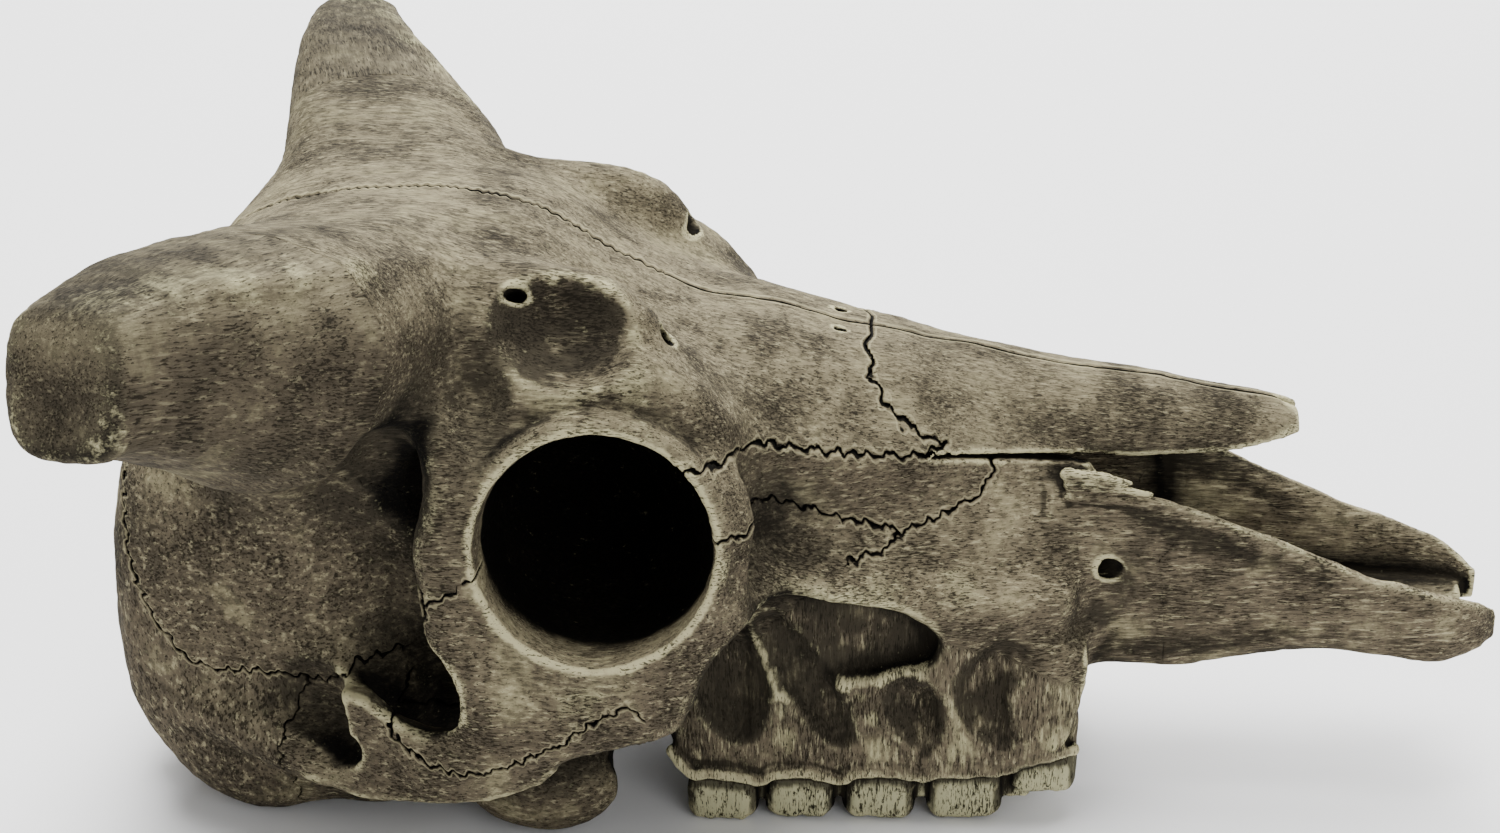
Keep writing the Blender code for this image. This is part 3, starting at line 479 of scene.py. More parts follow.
OUTLINES = {
    "horn": [(-190, 62), (-70, 100), (-70, 250), (-220, 250), (-220, 62)],
    "frontal": [
        (-215, 154), (-160, 141), (-120, 129), (-95, 118), (-84, 94), (-70, 103), (-40, 112), (-34, 117),
        *UNDER_FRONTAL, *NOSE_ROOT, (36, 250), (-215, 250),
    ],
    "nasal": [
        (50, 121), (60, 119.5), (85, 116.6), (112, 113.2), (170, 106), (170, 200), (36, 200),
        *NOSE_ROOT[::-1],
    ],
    "lacrimal": [
        *UNDER_FRONTAL, (60, 119.5), (71, 118), (72, 112), (67, 107), (58, 103), *OVER_CHEEKBONE[::-1],
    ],
    "cheekbone": [
        *OVER_CHEEKBONE, (41, 94), (31, 92), (27, 88), (18, 79), (4, 63), (-14, 58), (-22, 60), (-30, 66),
        (-40, 60), (-49, 53), (-58, 48), (-66, 44), (-76, 42), (-90, 46), (-98, 52), (-90, 66), (-88, 80),
        (-84, 94), (-70, 103), (-40, 112),
    ],
    "muzzle_bone": [(150, 130), (128, 96), (121, 86), (124, 66), (126, 30), (260, 30), (260, 130)],
    "upper_jaw": [(-25, -10), (-25, 50), (-16, 64), (-4, 75), (-4, 130), (170, 130), (170, -10)],
    "temple": [
        (-178, 158), (-179, 120), (-176, 91), (-170, 75), (-160, 62), (-150, 59), (-138, 60), (-119, 56),
        (-110, 64), (-94, 65), (-84, 62), (-70, 70), (-40, 100), (-40, 158),
    ],
    "skull_base": [(-132, -20), (-132, 40), (-124, 58), (-100, 74), (-60, 110), (60, 110), (60, -20)],
}
INNER = {"lacrimal": 30.0, "cheekbone": 52.0, "temple": 34.0}
CHEEK_FRONT = 34.0
HORN_FOOT = 110.0
BONES = [*OUTLINES, "back_of_skull"]

# No suture shows in the eye and behind the arch, told by x, z, radius and the y that they reach out to, and
# in boxes from a low to a high corner: two on the horns' roots, the cave in the cheek and the muzzle.
ANY = 999.0
QUIET_HOLLOWS = [(EYE[0], 107, 37, 76), (-83, 68, 15, 78)]
QUIET_BOXES = [
    ((-ANY, 50, 125), (-60, ANY, ANY)),
    ((-135, -ANY, 99), (-74, ANY, ANY)),
    ((-24, 20, -ANY), (30.5, ANY, 92.5)),
    ((108, -ANY, -ANY), (ANY, ANY, ANY)),
]


def zigzag(a, b, c):
    """A toothed wave along a, made less even by the two other coordinates: two sines of unlike pitch."""
    broad = 0.75 * np.sin(1.15 * a + 1.4 * np.sin(0.31 * a + 0.2 * b))
    return broad + 0.4 * np.sin(2.5 * a + 0.9 * c + np.sin(0.9 * a))


def quiet(x, y, z):
    """Where the casting shows no suture."""
    found = False
    for middle_x, middle_z, radius, out in QUIET_HOLLOWS:
        found = found | (np.hypot(x - middle_x, z - middle_z) < radius) & (y < out)
    for low, high in QUIET_BOXES:
        inside = True
        for v, a, b in zip((x, y, z), low, high):
            inside = inside & (v > a) & (v < b)
        found = found | inside
    return found


def rise(value, span):
    """From 0 to 1 while a value goes from 0 to span, and level on both sides."""
    return np.clip(value / span, 0, 1)


def bone_edge(bone, x, y, z):
    """Distance to a bone's outline and inner end, negative inside. The horns are drawn from above, and the
    muzzle and the slit beside the nose have no zigzags."""
    outline = np.array(OUTLINES[bone], float)
    if bone == "horn":
        edge = np.maximum(outline_distance(outline, x, y), HORN_FOOT - z)
    elif bone == "muzzle_bone":
        edge = outline_distance(outline, x, z)
    else:
        wild = 1 - rise(x - 55, 10) * rise(z - 114, 3)
        edge = outline_distance(outline, x + wild * zigzag(z, y, x), z + wild * zigzag(x, y, z))
    inner = INNER.get(bone, -ANY)
    if bone == "cheekbone":
        inner = np.interp(x, [-30, -8], [inner, CHEEK_FRONT])
    return np.maximum(edge, inner - y).astype(np.float32)


def parted(x, y, z):
    """Which bone each point is in, how deep in it, and how far from a suture that shows."""
    y = np.abs(y)
    own = np.full(x.shape, len(BONES) - 1, np.int8)
    depth = np.full(x.shape, 99, np.float32)
    crack = np.full(x.shape, 99, np.float32)
    free = np.ones(x.shape, bool)
    for k, bone in enumerate(OUTLINES):
        edge = bone_edge(bone, x, y, z)
        own[free & (edge < 0)] = k
        depth = np.where(free, np.minimum(depth, np.abs(edge)), depth)
        if bone not in ("horn", "muzzle_bone", "skull_base"):
            crack = np.where(free, np.minimum(crack, np.abs(edge)), crack)
        free &= edge >= 0
    return own, depth, np.where(quiet(x, y, z), 99, crack)


# Casting. The sculpture is measured coarsely everywhere and finely near its surface and its sutures, on one
# side of the middle plane, which the grid straddles. Then each bone's surface is drawn through the grid.
CORNERS = np.indices((2, 2, 2), np.int32).reshape(3, 8).T


def field(x, y, z):
    """The sculpture's distance at points, negative inside the casting."""
    f = np.full(x.shape, 60, np.float32)
    for sign, (form, box), seam in STEPS:
        near = np.ones(x.shape, bool)
        for v, low, high in zip((x, y, z), *box):
            near &= (v > low - seam - FAR) & (v < high + seam + FAR)
        near = np.nonzero(near)[0]
        d = form(x[near], y[near], z[near])
        f[near] = soft_min(f[near], d, seam) if sign > 0 else -soft_min(-f[near], d, seam)
    return f


def spread(grid):
    """Each value of a grid repeated over the fine cells of its block."""
    for axis in range(3):
        grid = grid.repeat(BLOCK, axis)
    return grid


def extremes(grid):
    """The least and greatest value at the corners of each block."""
    low, high = grid, grid
    for axis in range(3):
        a, b = [slice(None)] * 3, [slice(None)] * 3
        a[axis], b[axis] = slice(0, -1), slice(1, None)
        low = np.minimum(low[tuple(a)], low[tuple(b)])
        high = np.maximum(high[tuple(a)], high[tuple(b)])
    return low, high


def fine_points(blocks):
    """The fine cells of some blocks, and where they are."""
    step = np.stack(np.meshgrid(*[np.arange(BLOCK)] * 3, indexing="ij"), -1).reshape(1, -1, 3)
    cells = (blocks[:, None] * BLOCK + step).reshape(-1, 3)
    return tuple(cells.T), (LOW + cells * CELL).astype(np.float32).T


def measured():
    """The coarse field, the fine field, and the bone and depth of every fine cell: true near the surface and
    the sutures, and filled from the blocks' corners further off."""
    corner = [LOW[k] + np.arange(BLOCKS[k] + 1) * CELL * BLOCK for k in range(3)]
    points = [v.ravel().astype(np.float32) for v in np.meshgrid(*corner, indexing="ij")]
    coarse = field(*points).reshape(BLOCKS + 1)
    own, depth = (v.reshape(BLOCKS + 1) for v in parted(*points)[:2])
    reach = CELL * BLOCK
    low, high = extremes(coarse)
    fine = spread(np.where(coarse[:-1, :-1, :-1] < 0, -FAR, FAR).astype(np.float32))
    cells, points = fine_points(np.argwhere((low < reach) & (high > -reach)))
    fine[cells] = field(*points)
    first, last = extremes(own)
    near = (low < reach) & ((extremes(depth)[0] < 2 * reach) | (first != last) | (high > -reach))
    own = spread(own[:-1, :-1, :-1])
    depth = spread(np.minimum(depth[:-1, :-1, :-1], FAR))
    cells, points = fine_points(np.argwhere(near))
    own[cells], depth[cells] = parted(*points)[:2]
    return coarse, fine, own, depth


def crossing_middles(grid, cells):
    """For each cell that the surface crosses, the middle of its crossings with the cell's edges."""
    value = np.stack([grid[tuple((cells + c).T)] for c in CORNERS])
    total = np.zeros((len(cells), 3), np.float32)
    hits = np.zeros(len(cells), np.float32)
    for a, axis in np.argwhere(CORNERS == 0):
        b = a + (4, 2, 1)[axis]
        crossed = (value[a] < 0) != (value[b] < 0)
        share = value[a][crossed] / (value[a][crossed] - value[b][crossed])
        point = np.tile(CORNERS[a].astype(np.float32), (len(share), 1))
        point[:, axis] += share
        total[crossed] += point
        hits[crossed] += 1
    return total / hits[:, None]


def crossing_quads(inside, index):
    """For each grid edge that the surface crosses, the quad of its four cells' points, facing outwards."""
    quads = []
    unit = np.eye(3, dtype=np.int32)
    for axis in range(3):
        u, v = (axis + 1) % 3, (axis + 2) % 3
        ends = [slice(1, -1)] * 3
        ends[axis] = slice(0, -1)
        here = inside[tuple(ends)]
        ends[axis] = slice(1, None)
        there = inside[tuple(ends)]
        for leaves, crossed in ((True, here & ~there), (False, ~here & there)):
            edge = np.argwhere(crossed).astype(np.int32) + 1 - unit[axis]
            around = (edge - unit[u] - unit[v], edge - unit[v], edge, edge - unit[u])
            ring = np.stack([index[tuple(cell.T)] for cell in around], 1)
            quads.append(ring if leaves else ring[:, ::-1])
    return np.vstack(quads)


def surface(grid, start):
    """The zero surface of a grid from a fine cell on: a point in each cell that it crosses, and quads."""
    inside = grid < 0
    count = np.zeros(np.array(grid.shape) - 1, np.int8)
    for corner in CORNERS:
        count += inside[tuple(slice(c, c + size) for c, size in zip(corner, count.shape))]
    cells = np.argwhere((count > 0) & (count < 8)).astype(np.int32)
    index = np.full(count.shape, -1, np.int32)
    index[tuple(cells.T)] = np.arange(len(cells))
    points = LOW + (start + cells + crossing_middles(grid, cells)) * CELL
    return points, crossing_quads(inside, index)


def weighed_corners(share):
    """The eight corners of a cell, each with its weight at points that lie at these shares of the cell."""
    for corner in CORNERS:
        weight = 1.0
        for axis in range(3):
            weight = weight * (share[:, axis] if corner[axis] else 1 - share[:, axis])
        yield corner, weight


def lookup(grid, pitch, points):
    """A grid's value at points, by weighing the eight values round each."""
    at = np.clip((points - LOW) / pitch, 0, np.array(grid.shape) - 1.001)
    base = np.ascontiguousarray(at.T.astype(np.int32))
    total = np.zeros(len(points), np.float32)
    for corner, weight in weighed_corners((at - base.T).astype(np.float32)):
        total += weight * grid[tuple(base + corner[:, None])]
    return total


# Bones stay GAP from their suture, or overlap a little where it doesn't show. Points within NEAR of the
# casting's surface are drawn onto it, in PULLS steps. Each row of THINNING is how deep points lie inside the
# casting, and the pitch at which they are drawn together.
GAP = 0.16
OVERLAP = -0.2
SLOPE_REACH, LEAST_STEEP = 0.9, 0.8
NEAR, PULLS = 0.6 * CELL, 2
THINNING = [(-1.8, 2.4), (-5.0, 7.0)]
coarse, fine, own, depth = measured()


def slope(points):
    """The way out of the casting at points, and how fast the fine field grows that way, where 1 is even."""
    axes = np.eye(3) * SLOPE_REACH
    climb = np.stack([lookup(fine, CELL, points + a) - lookup(fine, CELL, points - a) for a in axes], 1)
    size = np.maximum(np.linalg.norm(climb, axis=1), 1e-6)
    return climb / size[:, None], np.maximum(size / (2 * SLOPE_REACH), LEAST_STEEP)


def thinned(points, quads, inside):
    """The cut faces hidden in the sutures with fewer points: those deep inside are drawn together, cell by
    cell of a coarse lattice, and faces left without width are dropped."""
    key = np.arange(len(points), dtype=np.int64)
    for deep, pitch in THINNING:
        far = np.nonzero(inside < deep)[0]
        cell = np.floor((points[far] - LOW) / pitch).astype(np.int64)
        key[far] = 10**8 + int(pitch) * 10**10 + (cell[:, 0] * 1000 + cell[:, 1]) * 1000 + cell[:, 2]
    group = np.unique(key, return_inverse=True)[1]
    count = np.bincount(group)
    merged = np.stack([np.bincount(group, points[:, k]) / count for k in range(3)], 1)
    quads = group[quads]
    same = quads == np.roll(quads, -1, axis=1)
    whole = quads[~same.any(axis=1) & (quads[:, 0] != quads[:, 2]) & (quads[:, 1] != quads[:, 3])]
    single = same.sum(axis=1) == 1
    rows = quads[single]
    start = np.argmax(same[single], axis=1)
    triangles = rows[np.arange(len(rows))[:, None], (start[:, None] + np.array([1, 2, 3])) % 4]
    return merged, whole, triangles[triangles[:, 0] != triangles[:, 2]]


def bone_surface(bone):
    """Points, quads and triangles of one bone on the left or to the middle, closed where sutures part it."""
    mine = own == BONES.index(bone)
    solid = mine & (fine < 0)
    low, high = [], []
    for axis in range(3):
        used = np.nonzero(solid.any(axis=tuple(k for k in range(3) if k != axis)))[0]
        low.append(max(used[0] - 2, 0))
        high.append(min(used[-1] + 3, solid.shape[axis]))
    box = tuple(slice(a, b) for a, b in zip(low, high))
    x, y, z = np.ix_(*[LOW[k] + np.arange(low[k], high[k]) * CELL for k in range(3)])
    gap = OVERLAP if bone == "horn" else np.where(quiet(x, y, z), OVERLAP, GAP)
    grid = np.maximum(fine[box], np.where(mine[box], gap - depth[box], gap + depth[box])).astype(np.float32)
    if bone != "back_of_skull":
        grid = np.maximum(grid, (OVERLAP if bone == "skull_base" else GAP) - y).astype(np.float32)
    points, quads = surface(grid, np.array(low))
    near = np.abs(lookup(fine, CELL, points)) < NEAR
    for _ in range(PULLS):
        on = points[near]
        out, steep = slope(on)
        points[near] = on - out * (lookup(fine, CELL, on) / steep)[:, None]
    return thinned(points, quads, lookup(fine, CELL, points))


# Relief. The bare casting is roughened with grain, fibres, root ridges and grooves along the sutures. FIBRES
# are the fibres' sizes along x, y and z. ROUGHNESS has the height, size and seed of each layer of grain, and
# the roots' ridges, their lumps and the crowns' grain have a height and a size of their own.
BRAINCASE = ("temple", "skull_base", "back_of_skull")
MET_IN_THE_MIDDLE = ("frontal", "nasal", "upper_jaw")
FIBRES = {
    "horn": (1.8, 18, 1.8), "nasal": (11, 1.1, 1.1), "muzzle_bone": (9, 2, 1.3), "upper_jaw": (9, 2, 1.3),
    "frontal": (8, 1.6, 1.6), "lacrimal": (7, 2, 1.4), "cheekbone": (6, 2, 1.8), "temple": (3.5, 3, 2.5),
    "skull_base": (5, 3, 2), "back_of_skull": (3, 3, 5),
}
ROOT_FIBRES = (1.5, 3, 10)
ROOT_TOPS = ([-20, 20, 60, 100], [84, 84, 66, 50])
FIBRES_APART = 40
ROUGHNESS = [(0.3, 13, 1), (0.2, 5.5, 2), (0.12, 2.4, 3)]
FIBRE_HIGH = 0.16
RIDGE_HIGH, RIDGE_SIZE = 0.9, (5.5, 14, 22)
LUMP_HIGH, LUMP_SIZE = 0.4, (2.2, 6, 8)
CROWN_HIGH, CROWN_SIZE = 0.35, (2.0, 4, 9)
ROW_BACK, ROW_FRONT, ROW_INSIDE = -20, 103, 28
ROOTS_TOP, ROOTS_INSIDE = 66, 38
LIP_HIGH, LIP_AWAY, LIP_WIDE = 0.25, 1.5, 0.7
GROOVE_DEEP, GROOVE_WIDE = 0.45, 0.55
SKIN = 0.7
HASH = np.array([73856093, 19349663, 83492791])
SIDES = {"right": -1, "left": 1}


def grain(points, size, seed):
    """Smooth noise from -1 to 1: numbers hashed at the corners of a lattice of a size, blended between."""
    points = points / np.asarray(size, float)
    cell = np.floor(points).astype(np.int64)
    share = points - cell
    total = np.zeros(len(points))
    for corner, weight in weighed_corners(share * share * (3 - 2 * share)):
        h = (cell + corner) @ HASH + seed * 7919
        h = (h ^ (h >> 13)) * 1274126177 & 0xFFFFFFFF
        h = (h ^ (h >> 16)) * 2246822519 & 0xFFFFFFFF
        total += weight * (h / 2**31 - 1)
    return total


def grained(bone, points):
    """Points measured in fibres, which run along x on most bones, along the horns and up the tooth roots."""
    x, y, z = points.T
    size = np.tile(np.array(FIBRES[bone], float), (len(points), 1))
    if bone == "horn":
        x, z = x + 0.33 * y, z - 0.3 * y
    if bone == "upper_jaw":
        size[(y > 30) & (z < np.interp(x, *ROOT_TOPS))] = ROOT_FIBRES
    return np.column_stack([x, y, z]) / size


def suture_distance(bone, points):
    """How far points are from a suture that shows, the middle one too. The braincase's are drawn thinner."""
    crack = parted(*points.T)[2]
    if bone in MET_IN_THE_MIDDLE:
        crack = np.minimum(crack, 0.6 * points[:, 1] + 0.05)
    return crack * (1.35 if bone in BRAINCASE else 1)


def teeth_at(bone, points):
    """The collar's height at points, and from 0 to 1 how far they are on a crown and on the roots."""
    x, y, z = points.T
    collar = np.interp(x, [c[0] for c in COLLAR], [c[2] for c in COLLAR])
    jaw = bone == "upper_jaw"
    in_row = jaw * (y > ROW_INSIDE) * (x > ROW_BACK) * (x < ROW_FRONT)
    crown = rise(collar - 1.2 - z, 0.8) * in_row
    roots = rise(z - collar, 5) * rise(ROOTS_TOP - z, 14) * (y > ROOTS_INSIDE) * jaw
    return collar, crown, roots * rise(x - ROW_BACK, 6)


def relief(away, fibres, crack, crown, roots):
    """How far the surface stands out: layers of grain, ridges over the roots, sutures with raised lips."""
    height = sum(high * grain(away, size, seed) for high, size, seed in ROUGHNESS)
    height += FIBRE_HIGH * grain(fibres, 1, 4)
    ridges = 1 - 2 * np.abs(grain(away, RIDGE_SIZE, 5))
    height += roots * (RIDGE_HIGH * ridges + LUMP_HIGH * grain(away, LUMP_SIZE, 6))
    height += crown * CROWN_HIGH * grain(away, CROWN_SIZE, 7)
    height += LIP_HIGH * np.exp(-(((crack - LIP_AWAY) / LIP_WIDE) ** 2))
    return height - GROOVE_DEEP * np.exp(-((crack / GROOVE_WIDE) ** 2))


def middle_sway(points):
    """How far the suture along the middle of the roof swings to the side."""
    x, y, z = points.T
    sway = 0.9 * np.sin(x / 8 + 1.5 * np.sin(x / 23)) + 0.8 * np.sin(2.1 * x + np.sin(0.5 * x)) * (x < -25)
    return sway * np.exp(-((y / 7) ** 2)) * (z > 100)


# Washes and painted shade. Painted shade lies in hollows together with the replica's own dark paint, felt for
# over OPEN_AIR's reaches with its weights, and pale paint is rubbed on edges. Each spot below is told by
# place, radius and strength, which is below 0 if it is pale.
OPEN_AIR = [(3.0, 0.14), (6.0, 0.2), (12.0, 0.24), (22.0, 0.24), (38.0, 0.18)]
WELL_Z, WELL_RADIUS, WELL_OUT, WELL_FADE, WELL_DARK = 106.5, 38.5, 78, 12, 0.9
BEND_REACH, EDGE_FROM, DIP_FROM, BEND_SPAN = 2.2, 0.06, 0.05, 0.5
STREAK_PALE, STREAK_SIZE, STREAK_TALL = 0.8, (1.4, 5, 16), 12
PATCH_SIZE, SPECK_SIZE = (7, 7, 7), (2.5, 2.5, 4)
CROWN_SHADE = 1.2
# Rows are stained patches, painted shade in hollows and under the skull, and pale spots, of which those along
# the horns' top edges and on the cheek crests are painted highlights.
SPOTS_OF_STAIN_AND_PAINTED_LIGHT = [
    (-60, 62, 168, 9, 0.5), (-150, 172, 184, 9, 0.5), (-134, 120, 166, 16, 0.3), (-112, 98, 168, 18, 0.45),
    (-92, 84, 158, 14, 0.4), (-140, 150, 176, 12, 0.25), (-143, 156, 205, 9, -0.5),
    (-132, 140, 203, 9, -0.5), (-120, 122, 199, 9, -0.5), (-108, 104, 195, 9, -0.45),
    (-96, 86, 190, 9, -0.45), (-152, 188, 178, 12, -0.3), (-70, 30, 186, 20, 0.45),
    (-96, 46, 184, 14, 0.35), (-38, 18, 178, 16, 0.35),
    (-106, 66, 105, 18, 0.5), (-118, 68, 125, 14, 0.3), (-8, 50, 142, 18, 0.45), (12, 46, 128, 14, 0.3),
    (20, 55, 100, 13, 0.5), (44, 46, 96, 12, 0.3), (16, 63, 90, 9, -0.5), (40, 53, 86, 9, -0.5),
    (62, 47, 82, 10, -0.4), (-40, 89, 69, 12, -0.4), (-62, 90, 66, 10, -0.3), (93, 44, 48, 9, -0.4),
    (-46, 70, 151, 9, -0.6), (-28, 68, 152, 8, -0.6), (-30, 60, 163, 4, -0.7), (-52, 55, 178, 6, -0.5),
    (-36, 53, 175, 6, -0.5), (-80, 84, 124, 8, -0.3), (112, 38, 84, 8, 0.6), (120, 30, 98, 12, 0.4),
    (3, 50, 55, 3, -0.5), (8, 50, 49, 3, -0.5), (12, 50, 42, 3, -0.5), (13, 48, 33, 5, -0.45),
    (35, 49, 47, 3, -0.4), (39, 49, 40, 3, -0.45), (41, 48, 31, 5, -0.45), (63, 49, 47, 3, -0.4),
    (63.5, 49, 39, 4, -0.4), (66, 48, 31, 6, -0.45), (92, 44, 34, 7, -0.3), (150, 28, 90, 14, 0.3),
    (-182, 44, 88, 18, 0.5), (-172, 58, 104, 16, 0.35), (-150, 62, 84, 16, 0.3), (-112, 52, 18, 20, 0.5),
    (-150, 50, 20, 20, 0.5), (80, 26, 124, 12, 0.4), (118, 17, 120, 10, 0.4),
]
LAYERS = ("hidden", "edge", "dip", "crack", "crown", "upward", "stain_and_painted_light", "fibres")


def hiding(points, normal):
    """How deep points lie in a hollow: how far the field falls short of each reach out along the normal,
    which lays painted shade there. The inside of the eye sockets is hidden whatever is round it, so painted
    shade fills them."""
    hidden = np.zeros(len(points))
    for reach, weight in OPEN_AIR:
        open_air = lookup(coarse, CELL * BLOCK, points + normal * reach) / reach
        hidden += weight * rise(1 - open_air, 1)
    x, y, z = points.T
    well = rise(WELL_RADIUS - np.hypot(x - EYE[0], z - WELL_Z), 1) * rise(WELL_OUT - y, WELL_FADE)
    return np.maximum(hidden, WELL_DARK * well * (y < WELL_OUT - 2))


def bending(points, steep):
    """How sharply the surface bends, over 0 on an edge and under 0 in a dip: the mean of the field round."""
    ways = np.vstack([np.eye(3), -np.eye(3)]) * BEND_REACH
    return sum(lookup(fine, CELL, points + way) for way in ways) / 6 / steep**2


def marks_and_painted_light(points, away, collar, crown, roots):
    """Dark and pale marks: pale streaks on the roots, painted shade in the cut hollows with the replica's own
    dark paint, painted shadow under the collar and between the teeth, and the spots of the table above.
    """
    x, _, z = points.T
    streaks = rise(0.3 + 1.3 * grain(away, STREAK_SIZE, 8), 1)
    stain_and_painted_light = -STREAK_PALE * roots * rise(1 - (z - collar) / STREAK_TALL, 1) * streaks
    for (form, (low, high)), shade in SHADES:
        near = np.nonzero(((points > np.array(low) - 3) & (points < np.array(high) + 3)).all(axis=1))[0]
        patchy = 1 + 0.7 * grain(away[near], PATCH_SIZE, 9) + 0.5 * grain(away[near], SPECK_SIZE, 10)
        stain_and_painted_light[near] += shade * patchy * rise(1.2 - form(*points[near].T) / 2, 1)
    for x0, length, _ in TEETH:
        side_on = np.abs(x - x0) / (length / 2)
        shadow = rise(side_on - 0.7, 0.2) + rise(z - collar + 7.5, 4)
        stain_and_painted_light += CROWN_SHADE * crown * (side_on < 1.06) * np.minimum(shadow, 1)
    for *middle, radius, strength in SPOTS_OF_STAIN_AND_PAINTED_LIGHT:
        stain_and_painted_light += strength * np.exp(-((points - middle) ** 2).sum(axis=1) / radius**2)
    return stain_and_painted_light


def painted(bone, points, side):
    """The points pushed out or in along the surface's normal by the relief, and the values of LAYERS."""
    away = points * [1, side, 1]
    normal, steep = slope(points)
    crack = suture_distance(bone, points)
    collar, crown, roots = teeth_at(bone, points)
    fibres = grained(bone, points) + side * FIBRES_APART
    skin = np.abs(lookup(fine, CELL, points)) < SKIN
    height = np.where(skin, relief(away, fibres, crack, crown, roots), 0)
    moved = points + normal * height[:, None]
    if bone in ("frontal", "nasal"):
        moved[:, 1] += side * middle_sway(points)
    bend = bending(points, steep)
    edge = rise(bend - EDGE_FROM, BEND_SPAN)
    # The dips, where the surface bends inwards, carry painted shade.
    dip = rise(-bend - DIP_FROM, BEND_SPAN)
    stain_and_painted_light = marks_and_painted_light(points, away, collar, crown, roots)
    # The normal's upward share carries painted light from above into the paint.
    return moved, (hiding(points, normal), edge, dip, crack, crown, normal[:, 2], stain_and_painted_light, fibres / 1000)


def add_node(tree, kind, settings=None, **inputs):
    """A shader node of a kind, with its settings made, and its inputs joined to sockets or set to values."""
    node = tree.nodes.new("ShaderNode" + kind)
    for name, value in (settings or {}).items():
        setattr(node, name, value)
    for name, value in inputs.items():
        socket = node.inputs[int(name[1:])] if name[1:].isdigit() else node.inputs[name.replace("_", " ")]
        if isinstance(value, bpy.types.NodeSocket):
            tree.links.new(value, socket)
        else:
            socket.default_value = value
    return node


def calc(tree, operation, a, b=0.0):
    """One step of arithmetic in a shader."""
    return add_node(tree, "Math", {"operation": operation}, _0=a, _1=b).outputs[0]


def plus_share(tree, a, b, share):
    """a plus a share of b, in a shader."""
    return calc(tree, "ADD", a, calc(tree, "MULTIPLY", b, share))


def ramp(tree, value, low, high, most=1.0):
    """A smooth rise of a shader value from 0 to most between two limits."""
    inputs = dict(_0=value, _1=low, _2=high, _3=0.0, _4=most)
    return add_node(tree, "MapRange", {"interpolation_type": "SMOOTHSTEP"}, **inputs).outputs[0]


def blend(tree, share, a, b):
    """Colour a turned into colour b by a share."""
    return add_node(tree, "Mix", {"data_type": "RGBA"}, _0=share, _6=a, _7=b).outputs[2]


def coats(tree, base, rows):
    """Coats of paint over a base. Each row is the value that a coat follows, the limits between which it
    rises, its most and its colour."""
    for value, low, high, most, shade in rows:
        base = blend(tree, ramp(tree, value, low, high, most), base, shade)
    return base


def noise(tree, where, size, detail, roughness):
    """Noise with features of a size in millimetres along x, y and z."""
    scale = tuple(1000 / s for s in size)
    scaled = add_node(tree, "Mapping", Vector=where, Scale=scale).outputs[0]
    inputs = dict(Vector=scaled, Scale=1.0, Detail=detail, Roughness=roughness)
    return add_node(tree, "TexNoise", **inputs).outputs[0]


def colour(red, green, blue, tone=1.0):
    """A colour given as it looks on a screen, from 0 to 255, times a tone, made linear."""
    return (*[((c * tone / 255 + 0.055) / 1.055) ** 2.4 for c in (red, green, blue)], 1.0)


# Paint. Matt tan paint in thin coats, browner where the surface faces sideways or down and paler where it
# faces up, as painted light from above together with the replica's darker sides, scratched along the bone's
# fibres, with painted shade in the hollows and creases together with dark paint, dark sutures and pale rubbed
# edges.
# Each bone has its own tone.
TONES = {
    "horn": 0.95, "frontal": 1.0, "nasal": 1.0, "lacrimal": 1.06, "cheekbone": 1.08, "muzzle_bone": 1.14,
    "upper_jaw": 1.12, "temple": 1.06, "skull_base": 1.05, "back_of_skull": 1.05,
}
SUTURE_DARK = colour(10, 9, 7)
TOOTH_CREAM, TOOTH_SPECK = colour(176, 173, 138), colour(38, 36, 28)


def bare_paint(tree, bone, upward, blotch, fleck, fibre):
    """The tan ground, paler where the surface faces up and browner where it faces sideways or down, which is
    painted light from above together with the replica's darker sides, and its blotches, flecks and fibres,
    which are weaker on the smooth horns.
    """
    tone = TONES[bone]
    rough = 0.65 if bone == "horn" else 1.0
    below, above = colour(86, 78, 64, tone), colour(115, 107, 86, tone)
    return coats(tree, blend(tree, ramp(tree, upward, -0.1, 0.75), below, above), [
        (blotch, 0.46, 0.60, 0.65, colour(66, 60, 49, tone)),
        (blotch, 0.46, 0.34, 0.5, colour(138, 131, 102, tone)),
        (fleck, 0.50, 0.68, 0.45 * rough, colour(53, 48, 39, tone)),
        (fibre, 0.50, 0.64, 0.6 * rough, colour(37, 34, 27, tone)),
        (fibre, 0.46, 0.35, 0.5 * rough, colour(160, 153, 122, tone)),
    ])


def finish(tree, base, height):
    """A matt finish with a base colour, roughened by a height."""
    bump = add_node(tree, "Bump", Strength=0.6, Distance=0.0008, Height=height).outputs[0]
    shader = add_node(tree, "BsdfPrincipled", Base_Color=base, Roughness=0.85, Normal=bump)
    shader.inputs["Specular IOR Level"].default_value = 0.05
    add_node(tree, "OutputMaterial", Surface=shader.outputs[0])


